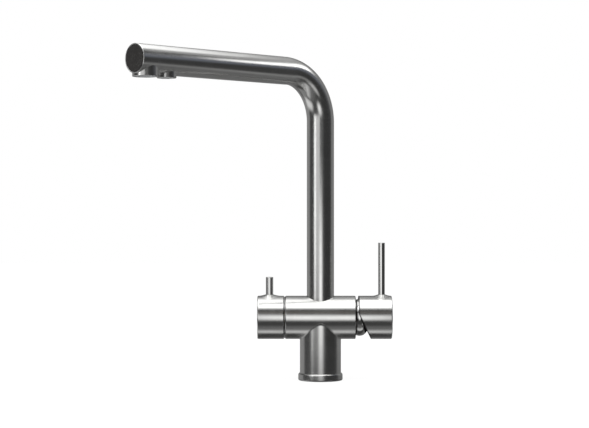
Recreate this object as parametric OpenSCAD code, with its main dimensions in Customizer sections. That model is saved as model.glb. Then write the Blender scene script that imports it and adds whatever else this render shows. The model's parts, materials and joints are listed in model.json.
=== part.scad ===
// Three way filtered water tap: a round column carries a horizontal barrel with a
// filtered water knob on its left end and a mixer handle on its right end, and a
// swivel spout with two outlets rises from the middle of the barrel.
// Origin: centre of the base on the deck, +Z up, +X towards the mixer handle.
// Millimetres and degrees.

/* [Column and base] */
// Diameter of the column
column_d = 42.3; // [41.6:0.1:44]
// Diameter of the base flange
flange_d = 45.7; // [45.2:0.1:56]
// Height of the base flange
flange_h = 7.6; // [6.5:0.1:14]
// Radius of the rounded shoulder on top of the flange
shoulder_r = 2; // [1:0.1:3]
// Radius of the edge under the flange
foot_edge_r = 1.3; // [0.5:0.1:1.4]
// Diameter of the recess under the column
recess_d = 35; // [34.6:0.1:35.6]
// Height of the recess under the column
recess_h = 34; // [30:0.5:36]

/* [Barrel] */
// Diameter of the barrel
barrel_d = 44.4; // [44:0.1:46]
// Length of the barrel
barrel_l = 72.2; // [70:0.1:90]
// Height of the barrel's axis above the deck
barrel_z = 64.5; // [62:0.5:110]
// Radius of the edges of the barrel and the handles
edge_r = 1; // [0.5:0.1:1.5]

/* [Spout] */
// Outer diameter of the spout tube
tube_d = 28; // [27.6:0.1:29]
// Wall of the spout tube
tube_wall = 1.1; // [1:0.05:1.3]
// Height of the spout arm's axis above the deck
spout_h = 315.4; // [220:0.5:380]
// Reach from the column's axis to the spout's end face
reach = 245.3; // [180:0.5:300]
// Radius of the spout's bend at the middle of the tube
bend_r = 50; // [30:0.5:70]
// Angle of the spout at rest, from straight left towards the user
spout_yaw = 44.5; // [0:0.5:90]
// Depth of the outlets below the underside of the tube
outlet_drop = 2.5; // [1.5:0.1:6]
// Outer diameter of the mixed water outlet
main_outlet_d = 24.7; // [24.2:0.1:25.2]
// Outer diameter of the filtered water outlet
filter_outlet_d = 18.5; // [18:0.1:19.5]
// Space between the two outlets along the tube
outlet_gap = 4.1; // [3:0.1:10]

/* [Mixer handle] */
// Gap between the barrel and the handle
handle_gap = 2.9; // [2.5:0.1:3.5]
// Length of the handle
handle_l = 34.3; // [33:0.1:40]
// Angle of the slanted cut under the handle, from upright
cut_deg = 25.8; // [25.5:0.1:30]
// Height above the axis at which the slanted cut meets the handle's face
cut_top = 4.5; // [3:0.1:6]
// Diameter of the lever pin
lever_d = 6.9; // [6:0.1:8]
// Height of the lever pin's end above the barrel's axis
lever_top = 76.8; // [50:0.5:100]
// Place of the lever pin, from the handle's outer face
lever_in = 10.4; // [10:0.1:12]

/* [Filter knob] */
// Gap between the barrel and the knob
knob_gap = 1.3; // [1:0.1:1.5]
// Length of the knob
knob_l = 27.4; // [27:0.1:32]
// Diameter of the knob's pin
knob_pin_d = 7.6; // [6:0.1:8.4]
// Height of the knob pin's end above the barrel's axis
knob_pin_top = 41.7; // [34:0.5:60]
// Place of the knob's pin, from the knob's outer face
knob_pin_in = 12.4; // [12:0.1:13]

/* [Mixer cartridge] */
// Bore for the cartridge in the barrel
cartridge_d = 35; // [34.6:0.1:35.4]
// Depth of the cartridge's bore from the barrel's end
cartridge_depth = 20.1; // [19:0.1:21]
// Distance of the handle's tilting axis from the barrel's end
pivot_out = 4; // [3.9:0.1:4.2]
// Space between the dome ring and the handle's bore
dome_gap = 1.2; // [1:0.1:1.6]
// Radius of the dome ring's bulge
dome_bulge_r = 8.5; // [8:0.1:9]
// Thickness of the ceramic discs
disc_t = 3.5; // [3:0.1:3.6]
// Distance of the stem's ball from the tilting axis
ball_arm = 9.5; // [9.3:0.1:9.6]

/* [Filter headwork] */
// Bore for the headwork in the barrel
headwork_d = 20; // [19.6:0.1:21]
// Depth of the headwork's bore from the barrel's end
headwork_depth = 20.1; // [19.6:0.1:21]
// Diameter of the spindle
spindle_d = 8; // [7.6:0.1:8.2]

/* [Fits] */
// Radial clearance of a running fit
run_fit = 0.05; // [0.03:0.01:0.1]
// Radial clearance of pieces that are fixed together
seat_fit = 0.03; // [0.02:0.01:0.06]

/* [Hidden] */
$fn = 96;

// Overrun of every cut past the face that it opens
cut = 1;
column_r = column_d / 2;
flange_r = flange_d / 2;
recess_r = recess_d / 2;
barrel_r = barrel_d / 2;
barrel_end = barrel_l / 2;
tube_r = tube_d / 2;
bore_r = tube_r - tube_wall;

// Base: the column's foot steps down into the flange, and a gasket seals on the deck
lip_h = 3;
foot_wall = 1.7;
foot_r = recess_r + foot_wall;
gasket_w = 2;
gasket_h = 1.5;
gasket_mid_r = (recess_r + flange_r) / 2;

// Inlet block in the recess: three hose ports, one stud hole and two screws
block_h = 18;
block_z = recess_h - block_h;
block_r = recess_r - seat_fit;
port_r = 4.5;
port_depth = 12;
hot_port = [8.6, 7.4];
cold_port = [8.6, -7.4];
filter_port = [-11, 0];
stud_at = [-1.5, 11.6];
stud_r = 3.4;
stud_depth = 14;
screw_at = [[-1.5, -11.6], [-10.2, 9.6]];
screw_r = 1.65;
screw_len = 25;
screw_head_r = 2.8;
screw_head_h = 3;
screw_socket_r = 1.5;
screw_socket_h = 2;

// Water ways in the body: hot and cold rise on the right, filtered water on the left
passage_r = 1.8;
passage_wall = 1.2;
hot_cold_y = 5.4;
seal_r = 0.42;
seal_lip = 0.72;
seal_groove_h = 0.9;
seal_mid_r = passage_r + seal_lip;
seal_groove_r = seal_mid_r + seal_lip;

// Spigot of the spout in the body: its levels go down from the ledge of the tube's socket,
// and each is a height above the barrel's axis
spigot_r = 9.5;
spigot_bore_r = spigot_r + run_fit;
socket_depth = 7.7;
lock_drop = 2.6;
top_ring_drop = 5.5;
filter_drop = 9.2;
mid_ring_drop = 12.3;
main_drop = 16.5;
low_ring_drop = 21.5;
spigot_l = 24.5;
ledge_up = barrel_r - socket_depth;
lock_up = ledge_up - lock_drop;
top_ring_up = ledge_up - top_ring_drop;
filter_up = ledge_up - filter_drop;
mid_ring_up = ledge_up - mid_ring_drop;
main_up = ledge_up - main_drop;
low_ring_up = ledge_up - low_ring_drop;
spigot_end_up = ledge_up - spigot_l;
ledge_z = barrel_z + ledge_up;
glide_h = 1;
tube_z = ledge_z + glide_h + run_fit;
ring_r = 0.8;
ring_mid_r = spigot_bore_r - run_fit / 2 - ring_r;
ring_groove_h = 1.8;
passage_x = spigot_bore_r + passage_wall + passage_r;

// Places of the three water ways in the top face of the inlet block
way_at = [[passage_x, hot_cold_y], [passage_x, -hot_cold_y], [-passage_x, 0]];

// Adapter that carries the spout tube
adapter_h = 18;
adapter_r = bore_r - seat_fit;
filter_channel_h = 2.6;
filter_channel_depth = 1;
main_channel_h = 4.8;
main_channel_depth = 1.4;
main_way_r = 1.5;
main_way_mid_r = 5.75;
filter_way_r = 2;
filter_cross_r = 1.2;
nipple_h = 8;
hose_r = 4;
hose_bore_r = 3;
nipple_r = hose_bore_r - seat_fit;

// Lock screw: its tip runs in a part turn groove of the spigot
swing_half = 90;
lock_screw_r = 2;
lock_screw_sunk = 0.8;
lock_tip_r = 0.75;
lock_groove_h = 1.6;
lock_groove_depth = 1.1;
lock_seat = 1;
lock_socket_r = 1.1;
lock_socket_h = 2;

// Spout path and outlets
straight_top = spout_h - bend_r;
end_cap_t = 0.8;
end_cap_edge = 0.25;
main_outlet_r = main_outlet_d / 2;
filter_outlet_r = filter_outlet_d / 2;
main_x = reach - end_cap_t - seat_fit - main_outlet_r;
filter_x = main_x - main_outlet_r - outlet_gap - filter_outlet_r;
outlet_z = spout_h - tube_r - outlet_drop;
outlet_edge_r = 0.5;
collar_lap = 0.6;
main_collar_top = spout_h - sqrt(tube_r * tube_r - main_outlet_r * main_outlet_r) + collar_lap;
collar_wall = 1.75;
collar_ledge = 1.6;
collar_ledge_h = 1.7;
main_bore_r = main_outlet_r - collar_wall;
filter_bore_r = filter_outlet_r - collar_wall;
aerator_sunk = 0.6;
washer_h = 1;
screen_h = 0.8;
grid_h = 1.6;
grid_rim = 0.9;
main_hole_r = 0.95;
main_hole_pitch = 2.7;
filter_hole_r = 0.8;
filter_hole_pitch = 2.3;
screen_hole_r = 0.7;
elbow_r = 5.5;
elbow_leg = 2;
filter_collar_top = spout_h - elbow_r - elbow_leg;
filter_plate_h = 1.5;
main_washer_z = main_collar_top - collar_ledge_h - washer_h;
filter_washer_z = filter_collar_top - filter_plate_h - washer_h;

// Ports on the cartridge's ceramic discs, as seen along the barrel
inlet_y = 3.4;
inlet_up = 4.4;
inlet_r = 1.8;
mixed_up = -2;
mixed_r = 2.4;
pocket_r = 2.8;
pocket_depth = 1.8;

// Cartridge, stacked from the tilting axis back to the floor of its bore
pivot_x = barrel_end + pivot_out;
chamber_x = barrel_end - cartridge_depth;
cartridge_r = cartridge_d / 2;
ball_x = pivot_x - ball_arm;
ball_r = 2.5;
ball_floor = 1.05;
ball_play = 0.3;
ball_bore_r = ball_r + ball_play;
driver_t = 6;
driver_w = 12;
driver_l = 15;
driver_mouth = 0.8;
peg_r = 1;
peg_h = 1.5;
peg_y = 4.6;
disc_gap = 0.3;
driver_x = ball_x - ball_r - ball_floor;
moving_x = driver_x - disc_t;
fixed_x = moving_x - run_fit - disc_t;
driver_end = driver_x + driver_t;
moving_disc_r = 9;
cavity_r = 13.5;
carrier_roof = 1;
carrier_end = driver_end + carrier_roof;
roof_t = 2;
neck_bore_r = 9;
neck_r = 12.2;
neck_out = 3.9;
carrier_neck_out = 5.4;
neck_end = pivot_x + neck_out;
carrier_neck_end = pivot_x + carrier_neck_out;
housing_step_r = 15.5;
nut_t = 6;
nut_lip = 1;
nut_r = cartridge_r + nut_lip;
nut_slot_w = 4;
nut_slot_h = 2;
base_seal_r = 0.5;
dome_t = 1.2;
dome_seat = 0.05;
dome_bore_r = neck_r + 2 * run_fit;
tilt_max = 25;
turn_half = 45;

// Stem and handle
stem_r = 3.9;
stem_neck_r = 1.8;
stem_cone_in = 6.9;
stem_full_in = 4.1;
stem_cone_x = pivot_x - stem_cone_in;
stem_full_x = pivot_x - stem_full_in;
pin_r = 1.5;
pin_l = 17;
slot_down = 7.1;
slot_up = 6.6;
slot_play = 0.1;
handle_x = barrel_end + handle_gap;
handle_end = handle_x + handle_l;
handle_wall = 2;
handle_cavity_r = barrel_r - handle_wall;
dome_r = handle_cavity_r - dome_gap;
handle_cavity_l = 16;
stem_in_handle = 10.5;
lever_r = lever_d / 2;
lever_x = handle_end - lever_in;
lever_foot = 2.4;
lever_edge = 0.3;
handle_screw_r = 2.5;
handle_screw_l = 6;
handle_screw_in = 5.2;
handle_screw_x = handle_x + handle_cavity_l + handle_screw_in;
handle_socket_r = 1.45;
handle_socket_h = 2.5;
plug_r = 3.2;
plug_h = 3.4;

// Smooth rise of a handle's skin round its pin
flare_h = 1.5;
flare_w = 7.5;
flare_depth = 8;
flare_sink = 0.05;
flare_rings = 6;
flare_sides = 40;
flare_power = 1.6;

// Knob, spindle and headwork, stacked from the floor of their bore outwards
headwork_x = barrel_end - headwork_depth;
headwork_r = headwork_d / 2;
knob_x = barrel_end + knob_gap;
knob_end = knob_x + knob_l;
knob_wall = 3.2;
knob_cavity_r = barrel_r - knob_wall;
knob_cavity_l = 10.1;
knob_pin_r = knob_pin_d / 2;
knob_pin_x = knob_end - knob_pin_in;
knob_pin_foot = 4;
// Step of the barrel that fills most of the gap to the knob, so that only a groove is seen
knob_play = 0.2;
knob_step_r = barrel_r - 0.9;
knob_screw_r = 2;
knob_screw_l = 7;
knob_socket_r = 1.15;
knob_socket_h = 2.2;
seat_h = 1.45;
seat_in_r = 4.9;
seat_out_r = 6.1;
small_disc_r = 6.7;
small_disc_t = 2.9;
nose_bore_r = 6.8;
nose_r = 8;
nose_l = 11.5;
disc_hole_r = 1.5;
disc_hole_mid_r = 3;
window_r = 2;
window_rim = 0.5;
carrier_t = 3.4;
headwork_flange_r = 12.9;
headwork_flange_h = 3.5;
hex_r = 9.8;
hex_h = 5;
headwork_neck_r = 6.5;
headwork_neck_l = 5;
spindle_r = spindle_d / 2;
spindle_in_knob = 22.6;
spindle_end = knob_x + spindle_in_knob;
spindle_ring_r = 0.9;
spindle_ring_s = 22;
headwork_ring_r = 0.8;
clip_t = 1;
clip_w = 2.4;
clip_depth = 0.7;
clip_mouth = 5;
spline_n = 20;
spline_r = 0.35;
outlet_y = 6;
head_outlet_r = 1.5;
head_inlet_r = 2;

seal_s = seat_fit;
head_fixed_s = seal_s + seat_h + seat_fit;
head_moving_s = head_fixed_s + small_disc_t + run_fit;
head_carrier_s = head_moving_s + small_disc_t;
head_bore_s = head_carrier_s + carrier_t + run_fit;
head_flange_s = headwork_depth - headwork_flange_h;
head_hex_s = headwork_depth;
head_neck_s = head_hex_s + hex_h;
head_end_s = head_neck_s + headwork_neck_l;
clip_s = head_end_s + run_fit;
head_ring_s = head_flange_s - 2 * headwork_ring_r;
head_ring_mid_r = headwork_r - headwork_ring_r - seat_fit;
spindle_ring_mid_r = spindle_r + run_fit / 2 - spindle_ring_r;
lug_r = 0.9;
lug_h = 1.2;
lug_mid_r = 4.9;
notch_mid_r = 5;
notch_web = 1;
knob_pin_edge = 0.5;

// Ports through the cartridge's base and fixed disc: across, up and radius
port_at = [[inlet_y, inlet_up, inlet_r], [-inlet_y, inlet_up, inlet_r], [0, mixed_up, mixed_r]];
base_seal_wall = 0.1;
ring_ups = [top_ring_up, mid_ring_up, low_ring_up];

steel = [0.72, 0.71, 0.69];
dark_steel = [0.3, 0.29, 0.28];
brass = [0.79, 0.66, 0.37];
rubber = [0.13, 0.13, 0.13];
ceramic = [0.92, 0.91, 0.87];
plastic = [0.88, 0.88, 0.85];
grey_plastic = [0.45, 0.46, 0.47];

// A bar along +Z with rounded ends
module round_bar(r, h, e) {
    rotate_extrude() {
        square([r - e, h]);
        translate([0, e]) square([r, h - 2 * e]);
        translate([r - e, e]) circle(e);
        translate([r - e, h - e]) circle(e);
    }
}

// A flat ring on the XY plane
module ring(r_in, r_out, h) {
    difference() {
        cylinder(h = h, r = r_out);
        translate([0, 0, -cut]) cylinder(h = h + 2 * cut, r = r_in);
    }
}

// A round cord ring about Z
module o_ring(mid_r, cord_r) {
    rotate_extrude() translate([mid_r, 0]) circle(cord_r);
}

// Children built along +Z are laid along +X or -X, on the barrel's axis
module to_right(x) {
    translate([x, 0, barrel_z]) rotate([0, 90, 0]) children();
}
module to_left(x) {
    translate([-x, 0, barrel_z]) rotate([0, -90, 0]) children();
}

// Round bars between two planes, placed by their other two coordinates
module bar_x(x0, x1, r, y = 0, up = 0) {
    translate([x0, y, barrel_z + up]) rotate([0, 90, 0]) cylinder(h = x1 - x0, r = r);
}
module bar_z(z0, z1, r, x = 0, y = 0) {
    translate([x, y, z0]) cylinder(h = z1 - z0, r = r);
}
module bar_y(y0, y1, r, x, z) {
    translate([x, y0, z]) rotate([-90, 0, 0]) cylinder(h = y1 - y0, r = r);
}

// A headless screw along +Z with a hexagon socket at its end
module grub_screw(r, l, socket_r, socket_h) {
    difference() {
        cylinder(h = l, r = r);
        translate([0, 0, l - socket_h]) cylinder(h = socket_h + cut, r = socket_r, $fn = 6);
    }
}

// Children lie in the spout's own plane, with the arm along +X
module in_spout() {
    rotate([0, 0, 180 + spout_yaw]) children();
}

// The spout's route as a solid of one radius: up, round the bend and along the arm
module spout_route(r, z0, x1) {
    bar_z(z0, straight_top, r);
    translate([bend_r, 0, straight_top]) rotate([90, 0, 0])
        rotate([0, 0, 90]) rotate_extrude(angle = 90) translate([bend_r, 0]) circle(r);
    translate([bend_r, 0, spout_h]) rotate([0, 90, 0]) cylinder(h = x1 - bend_r, r = r);
}

// Round holes in a hexagonal pattern within a radius
module hole_pattern(limit, pitch, r, h) {
    rows = ceil(limit / pitch);
    for (i = [-2 * rows : 2 * rows], j = [-2 * rows : 2 * rows]) {
        x = (i + j / 2) * pitch;
        y = j * pitch * sqrt(3) / 2;
        if (norm([x, y]) + r <= limit)
            translate([x, y, -cut]) cylinder(h = h + 2 * cut, r = r, $fn = 24);
    }
}

// The rise of a round handle's skin towards its pin, on a handle along X of radius barrel_r
function flare_lift(d, w) = flare_h * pow(max(0, 1 - d / w), flare_power);
function skin(y) = sqrt(barrel_r * barrel_r - y * y);
module flare(r, w) {
    rim = [for (i = [0 : flare_rings]) r + w * i / flare_rings];
    top = [for (i = [0 : flare_rings], k = [0 : flare_sides - 1])
        let (a = 360 * k / flare_sides, x = rim[i] * cos(a), y = rim[i] * sin(a),
            sink = i == flare_rings ? flare_sink : 0)
        [x, y, skin(y) + flare_lift(rim[i] - r, w) - sink]];
    points = concat(top, [[0, 0, barrel_r + flare_h], [0, 0, barrel_r - flare_depth]]);
    crown = (flare_rings + 1) * flare_sides;
    strips = [for (i = [0 : flare_rings - 1], k = [0 : flare_sides - 1], half = [0, 1])
        let (a = i * flare_sides + k, b = i * flare_sides + (k + 1) % flare_sides)
        half == 0 ? [a, b, b + flare_sides] : [a, b + flare_sides, a + flare_sides]];
    crown_fan = [for (k = [0 : flare_sides - 1]) [crown, (k + 1) % flare_sides, k]];
    root = flare_rings * flare_sides;
    root_fan = [for (k = [0 : flare_sides - 1]) [crown + 1, root + k, root + (k + 1) % flare_sides]];
    polyhedron(points = points, faces = concat(strips, crown_fan, root_fan), convexity = 4);
}

// Spout socket and spigot bore, cut from the body
module spout_bores() {
    bar_z(ledge_z, barrel_z + barrel_r + cut, tube_r + run_fit);
    bar_z(barrel_z + spigot_end_up - lock_seat, ledge_z + cut, spigot_bore_r);
}

// Water ways of the body, from the recess to the two bores and the spigot
module water_ways() {
    for (side = [-1, 1]) {
        bar_z(recess_h - cut, barrel_z + inlet_up + inlet_r, passage_r, passage_x, side * hot_cold_y);
        bar_x(passage_x, chamber_x + cut, inlet_r, side * inlet_y, inlet_up);
    }
    bar_x(0, chamber_x + cut, mixed_r, 0, mixed_up);
    bar_z(recess_h - cut, barrel_z + head_inlet_r, passage_r, -passage_x, 0);
    bar_x(-headwork_x - cut, -passage_x, head_inlet_r);
    bar_x(-headwork_x - cut, -spigot_bore_r / 2, head_outlet_r, outlet_y, filter_up);
}

// The lock screw's hole comes in level from behind
module lock_hole() {
    z = barrel_z + lock_up;
    bar_y(spigot_bore_r + lock_seat, barrel_r + cut, lock_screw_r + seat_fit, 0, z);
    bar_y(0, spigot_bore_r + 2 * lock_seat, lock_tip_r + seat_fit, 0, z);
}

// Cast body: the column's upper part and the barrel, with the water ways between them
module valve_body() {
    color(steel) difference() {
        union() {
            bar_z(recess_h, barrel_z, column_r);
            to_right(-barrel_end) round_bar(barrel_r, barrel_l, edge_r);
            bar_x(knob_play - knob_x, cut - barrel_end, knob_step_r);
        }
        spout_bores();
        water_ways();
        lock_hole();
        bar_x(chamber_x, barrel_end + cut, cartridge_r);
        bar_x(barrel_end - nut_t - run_fit, barrel_end + cut, nut_r + seat_fit);
        bar_x(-barrel_end - cut, -headwork_x, headwork_r);
        bar_x(-knob_x, headwork_flange_h + seat_fit - barrel_end, headwork_flange_r + seat_fit);
        for (at = screw_at)
            bar_z(recess_h - cut, block_z + screw_head_h + screw_len + cut, screw_r, at.x, at.y);
    }
}

// Lower part of the column: a tube that goes round the inlet block
module column_skirt() {
    color(steel) rotate_extrude() {
        translate([recess_r, lip_h]) square([foot_wall, recess_h - lip_h]);
        translate([recess_r, flange_h]) square([column_r - recess_r, recess_h - flange_h]);
    }
}

module base_flange() {
    color(steel) rotate_extrude() difference() {
        union() {
            square([flange_r - foot_edge_r, flange_h - shoulder_r]);
            square([flange_r - shoulder_r, flange_h]);
            translate([0, foot_edge_r]) square([flange_r, flange_h - foot_edge_r - shoulder_r]);
            translate([flange_r - foot_edge_r, foot_edge_r]) circle(foot_edge_r);
            translate([flange_r - shoulder_r, flange_h - shoulder_r]) circle(shoulder_r);
        }
        square([recess_r, flange_h + cut]);
        translate([0, lip_h]) square([foot_r + seat_fit, flange_h]);
        translate([gasket_mid_r - gasket_w / 2 - seat_fit, -cut])
            square([gasket_w + 2 * seat_fit, gasket_h + cut + seat_fit]);
    }
}

module base_gasket() {
    color(rubber) ring(gasket_mid_r - gasket_w / 2, gasket_mid_r + gasket_w / 2, gasket_h);
}

module inlet_block() {
    ports = [hot_port, cold_port, filter_port];
    color(brass) difference() {
        bar_z(block_z, recess_h - run_fit, block_r);
        for (i = [0 : len(ports) - 1]) {
            bar_z(block_z - cut, block_z + port_depth, port_r, ports[i].x, ports[i].y);
            way = way_at[i];
            bar_z(block_z + port_depth - 2 * passage_r, recess_h + cut, passage_r, way.x, way.y);
            bar_z(recess_h - seal_groove_h, recess_h + cut, seal_groove_r, way.x, way.y);
        }
        bar_z(block_z - cut, block_z + stud_depth, stud_r, stud_at.x, stud_at.y);
        for (at = screw_at) {
            bar_z(block_z - cut, recess_h + cut, screw_r + seat_fit, at.x, at.y);
            bar_z(block_z - cut, block_z + screw_head_h, screw_head_r + seat_fit, at.x, at.y);
        }
    }
}

module inlet_seals() {
    color(rubber) for (at = way_at)
        translate([at.x, at.y, recess_h - seal_groove_h / 2]) o_ring(seal_mid_r, seal_r);
}

module inlet_screws() {
    color(steel) for (at = screw_at) translate([at.x, at.y, block_z]) difference() {
        union() {
            cylinder(h = screw_head_h, r = screw_head_r);
            cylinder(h = screw_head_h + screw_len, r = screw_r - seat_fit);
        }
        translate([0, 0, -cut]) cylinder(h = screw_socket_h + cut, r = screw_socket_r, $fn = 6);
    }
}

module spout_glide_ring() {
    color(plastic) translate([0, 0, ledge_z])
        ring(spigot_r + 2 * run_fit, tube_r - run_fit, glide_h);
}

module spout_lock_screw() {
    z = barrel_z + lock_up;
    back = sqrt(barrel_r * barrel_r - lock_up * lock_up) - lock_screw_sunk;
    front = spigot_bore_r + lock_seat + run_fit;
    color(steel) {
        translate([0, front, z]) rotate([-90, 0, 0])
            grub_screw(lock_screw_r, back - front, lock_socket_r, lock_socket_h);
        bar_y(spigot_r - lock_groove_depth + 4 * run_fit, front + run_fit, lock_tip_r, 0, z);
    }
}

// Headwork of the filtered water: its own places run from the floor of its bore outwards
module filter_headwork() {
    color(brass) to_left(headwork_x) difference() {
        union() {
            translate([0, 0, head_fixed_s]) cylinder(h = nose_l, r = nose_r);
            translate([0, 0, nose_l]) cylinder(h = head_flange_s - nose_l, r = headwork_r - seat_fit);
            translate([0, 0, head_flange_s]) cylinder(h = headwork_flange_h, r = headwork_flange_r);
            translate([0, 0, head_hex_s]) cylinder(h = hex_h, r = hex_r, $fn = 6);
            translate([0, 0, head_hex_s]) cylinder(h = head_end_s - head_hex_s, r = headwork_neck_r);
        }
        translate([0, 0, head_fixed_s - cut])
            cylinder(h = head_bore_s - head_fixed_s + cut, r = nose_bore_r);
        cylinder(h = head_end_s + cut, r = spindle_r + run_fit);
        translate([0, 0, head_bore_s - window_r - window_rim]) rotate([90, 0, 0])
            cylinder(h = 2 * nose_r + 2 * cut, r = window_r, center = true);
        translate([0, 0, head_ring_s - headwork_ring_r])
            ring(head_ring_mid_r - headwork_ring_r - seat_fit, headwork_r + cut,
                2 * headwork_ring_r + seat_fit);
    }
}

module headwork_o_ring() {
    color(rubber) to_left(headwork_x) translate([0, 0, head_ring_s])
        o_ring(head_ring_mid_r, headwork_ring_r);
}

module filter_seat_seal() {
    color(rubber) to_left(headwork_x) translate([0, 0, seal_s]) ring(seat_in_r, seat_out_r, seat_h);
}

// A small ceramic disc with two holes on one of its diameters
module small_disc() {
    difference() {
        cylinder(h = small_disc_t, r = small_disc_r);
        for (side = [-1, 1]) translate([side * disc_hole_mid_r, 0, -cut])
            cylinder(h = small_disc_t + 2 * cut, r = disc_hole_r);
    }
}

// Closed at rest: the holes of the two discs lie a quarter turn apart
module filter_fixed_disc() {
    color(ceramic) to_left(headwork_x) translate([0, 0, head_fixed_s]) rotate([0, 0, 90]) small_disc();
}

module filter_moving_disc() {
    color(ceramic) to_left(headwork_x) translate([0, 0, head_moving_s]) difference() {
        small_disc();
        for (side = [-1, 1]) translate([0, side * lug_mid_r, small_disc_t - lug_h - seat_fit])
            cylinder(h = lug_h + cut, r = lug_r + seat_fit);
    }
}

module filter_spindle() {
    shaft = spindle_end - headwork_x;
    color(brass) to_left(headwork_x) difference() {
        union() {
            translate([0, 0, head_carrier_s]) cylinder(h = carrier_t, r = nose_bore_r - run_fit);
            translate([0, 0, head_carrier_s]) cylinder(h = shaft - head_carrier_s, r = spindle_r);
            for (side = [-1, 1]) translate([0, side * lug_mid_r, head_carrier_s - lug_h])
                cylinder(h = lug_h + seat_fit, r = lug_r);
        }
        for (side = [-1, 1]) translate([side * notch_mid_r, 0, head_carrier_s - cut])
            cylinder(h = carrier_t - notch_web + cut, r = window_r);
        translate([0, 0, spindle_ring_s - spindle_ring_r - seat_fit])
            ring(spindle_ring_mid_r - spindle_ring_r - seat_fit, spindle_r + cut,
                2 * spindle_ring_r + 2 * seat_fit);
        translate([0, 0, clip_s - run_fit])
            ring(spindle_r - clip_depth, spindle_r + cut, clip_t + 2 * run_fit);
        for (i = [0 : spline_n - 1]) rotate([0, 0, 360 * i / spline_n])
            translate([spindle_r, 0, clip_s + 2 * clip_t]) cylinder(h = shaft, r = spline_r, $fn = 24);
    }
}

module spindle_o_ring() {
    color(rubber) to_left(headwork_x) translate([0, 0, spindle_ring_s])
        o_ring(spindle_ring_mid_r, spindle_ring_r);
}

module spindle_clip() {
    r_in = spindle_r - clip_depth + seat_fit;
    color(steel) to_left(headwork_x) translate([0, 0, clip_s]) difference() {
        ring(r_in, r_in + clip_w, clip_t);
        translate([0, -clip_mouth / 2, -cut]) cube([r_in + clip_w + cut, clip_mouth, clip_t + 2 * cut]);
    }
}

// The knob: a cup on the spindle's splines, with a pin to turn it by
module filter_knob() {
    color(steel) difference() {
        union() {
            to_left(knob_x) round_bar(barrel_r, knob_l, edge_r);
            translate([-knob_pin_x, 0, barrel_z]) flare(knob_pin_r, flare_w);
        }
        bar_x(-knob_x - knob_cavity_l, cut - knob_x, knob_cavity_r);
        bar_x(-spindle_end - run_fit, -knob_x, spindle_r + seat_fit);
        bar_z(barrel_z + spindle_r + knob_pin_foot, barrel_z + barrel_r + flare_h + cut,
            knob_pin_r + seat_fit, -knob_pin_x);
        bar_z(barrel_z - barrel_r - cut, barrel_z, knob_screw_r + seat_fit, -knob_pin_x);
    }
}

module filter_knob_pin() {
    foot = spindle_r + knob_pin_foot + seat_fit;
    color(steel) translate([-knob_pin_x, 0, barrel_z + foot])
        round_bar(knob_pin_r, knob_pin_top - foot, knob_pin_edge);
}

module knob_grub_screw() {
    color(dark_steel) translate([-knob_pin_x, 0, barrel_z - spindle_r - seat_fit]) mirror([0, 0, 1])
        grub_screw(knob_screw_r, knob_screw_l, knob_socket_r, knob_socket_h);
}

// Mixer cartridge: base plate, two ceramic discs, carrier and housing
module cartridge_base() {
    color(grey_plastic) difference() {
        bar_x(chamber_x + seat_fit, fixed_x - seat_fit, cartridge_r - seat_fit);
        for (p = port_at) {
            bar_x(chamber_x - cut, fixed_x + cut, p[2], p[0], p[1]);
            translate([0, p[0], p[1]]) to_right(chamber_x - cut)
                ring(p[2] + base_seal_wall, p[2] + base_seal_wall + 2 * base_seal_r + 2 * seat_fit,
                    cut + seat_fit + 2 * base_seal_r);
        }
    }
}

module cartridge_seals() {
    color(rubber) for (p = port_at) translate([0, p[0], p[1]])
        to_right(chamber_x + seat_fit + base_seal_r)
            o_ring(p[2] + base_seal_wall + base_seal_r + seat_fit, base_seal_r);
}

module cartridge_fixed_disc() {
    color(ceramic) difference() {
        bar_x(fixed_x, fixed_x + disc_t, cavity_r - seat_fit);
        for (p = port_at) bar_x(fixed_x - cut, moving_x + cut, p[2], p[0], p[1]);
    }
}

module cartridge_moving_disc() {
    color(ceramic) difference() {
        bar_x(moving_x, driver_x, moving_disc_r);
        bar_x(moving_x - cut, moving_x + pocket_depth, pocket_r, 0, mixed_up);
        for (side = [-1, 1])
            bar_x(driver_x - peg_h - seat_fit, driver_x + cut, peg_r + seat_fit, side * peg_y);
    }
}

// The driver carries the moving disc on two pegs, and the stem's ball slides it
module disc_driver() {
    color(plastic) difference() {
        union() {
            translate([driver_x, -driver_w / 2, barrel_z - driver_l / 2])
                cube([driver_t, driver_w, driver_l]);
            for (side = [-1, 1]) bar_x(driver_x - peg_h, driver_x + seat_fit, peg_r, side * peg_y);
        }
        bar_x(driver_x + ball_floor - run_fit, driver_end + cut, ball_bore_r);
        to_right(driver_end - driver_mouth)
            cylinder(h = driver_mouth + cut, r1 = ball_bore_r, r2 = ball_bore_r + driver_mouth + cut);
    }
}

module stem_carrier() {
    slot_w = driver_w + 2 * run_fit;
    stem_slot_w = 2 * (stem_r + slot_play);
    color(plastic) difference() {
        union() {
            bar_x(driver_x + disc_gap, carrier_end, cavity_r - run_fit);
            bar_x(driver_x + disc_gap, carrier_neck_end, neck_bore_r - run_fit);
        }
        translate([driver_x, -slot_w / 2, barrel_z - cavity_r - cut])
            cube([driver_t + run_fit, slot_w, 2 * (cavity_r + cut)]);
        translate([driver_end - cut, -stem_slot_w / 2, barrel_z - slot_down])
            cube([carrier_neck_end - driver_end + 2 * cut, stem_slot_w, slot_down + slot_up]);
        bar_y(-neck_bore_r - cut, neck_bore_r + cut, pin_r + seat_fit, pivot_x, barrel_z);
    }
}

module stem_pivot_pin() {
    color(steel) bar_y(-pin_l / 2, pin_l / 2, pin_r, pivot_x, barrel_z);
}

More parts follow.
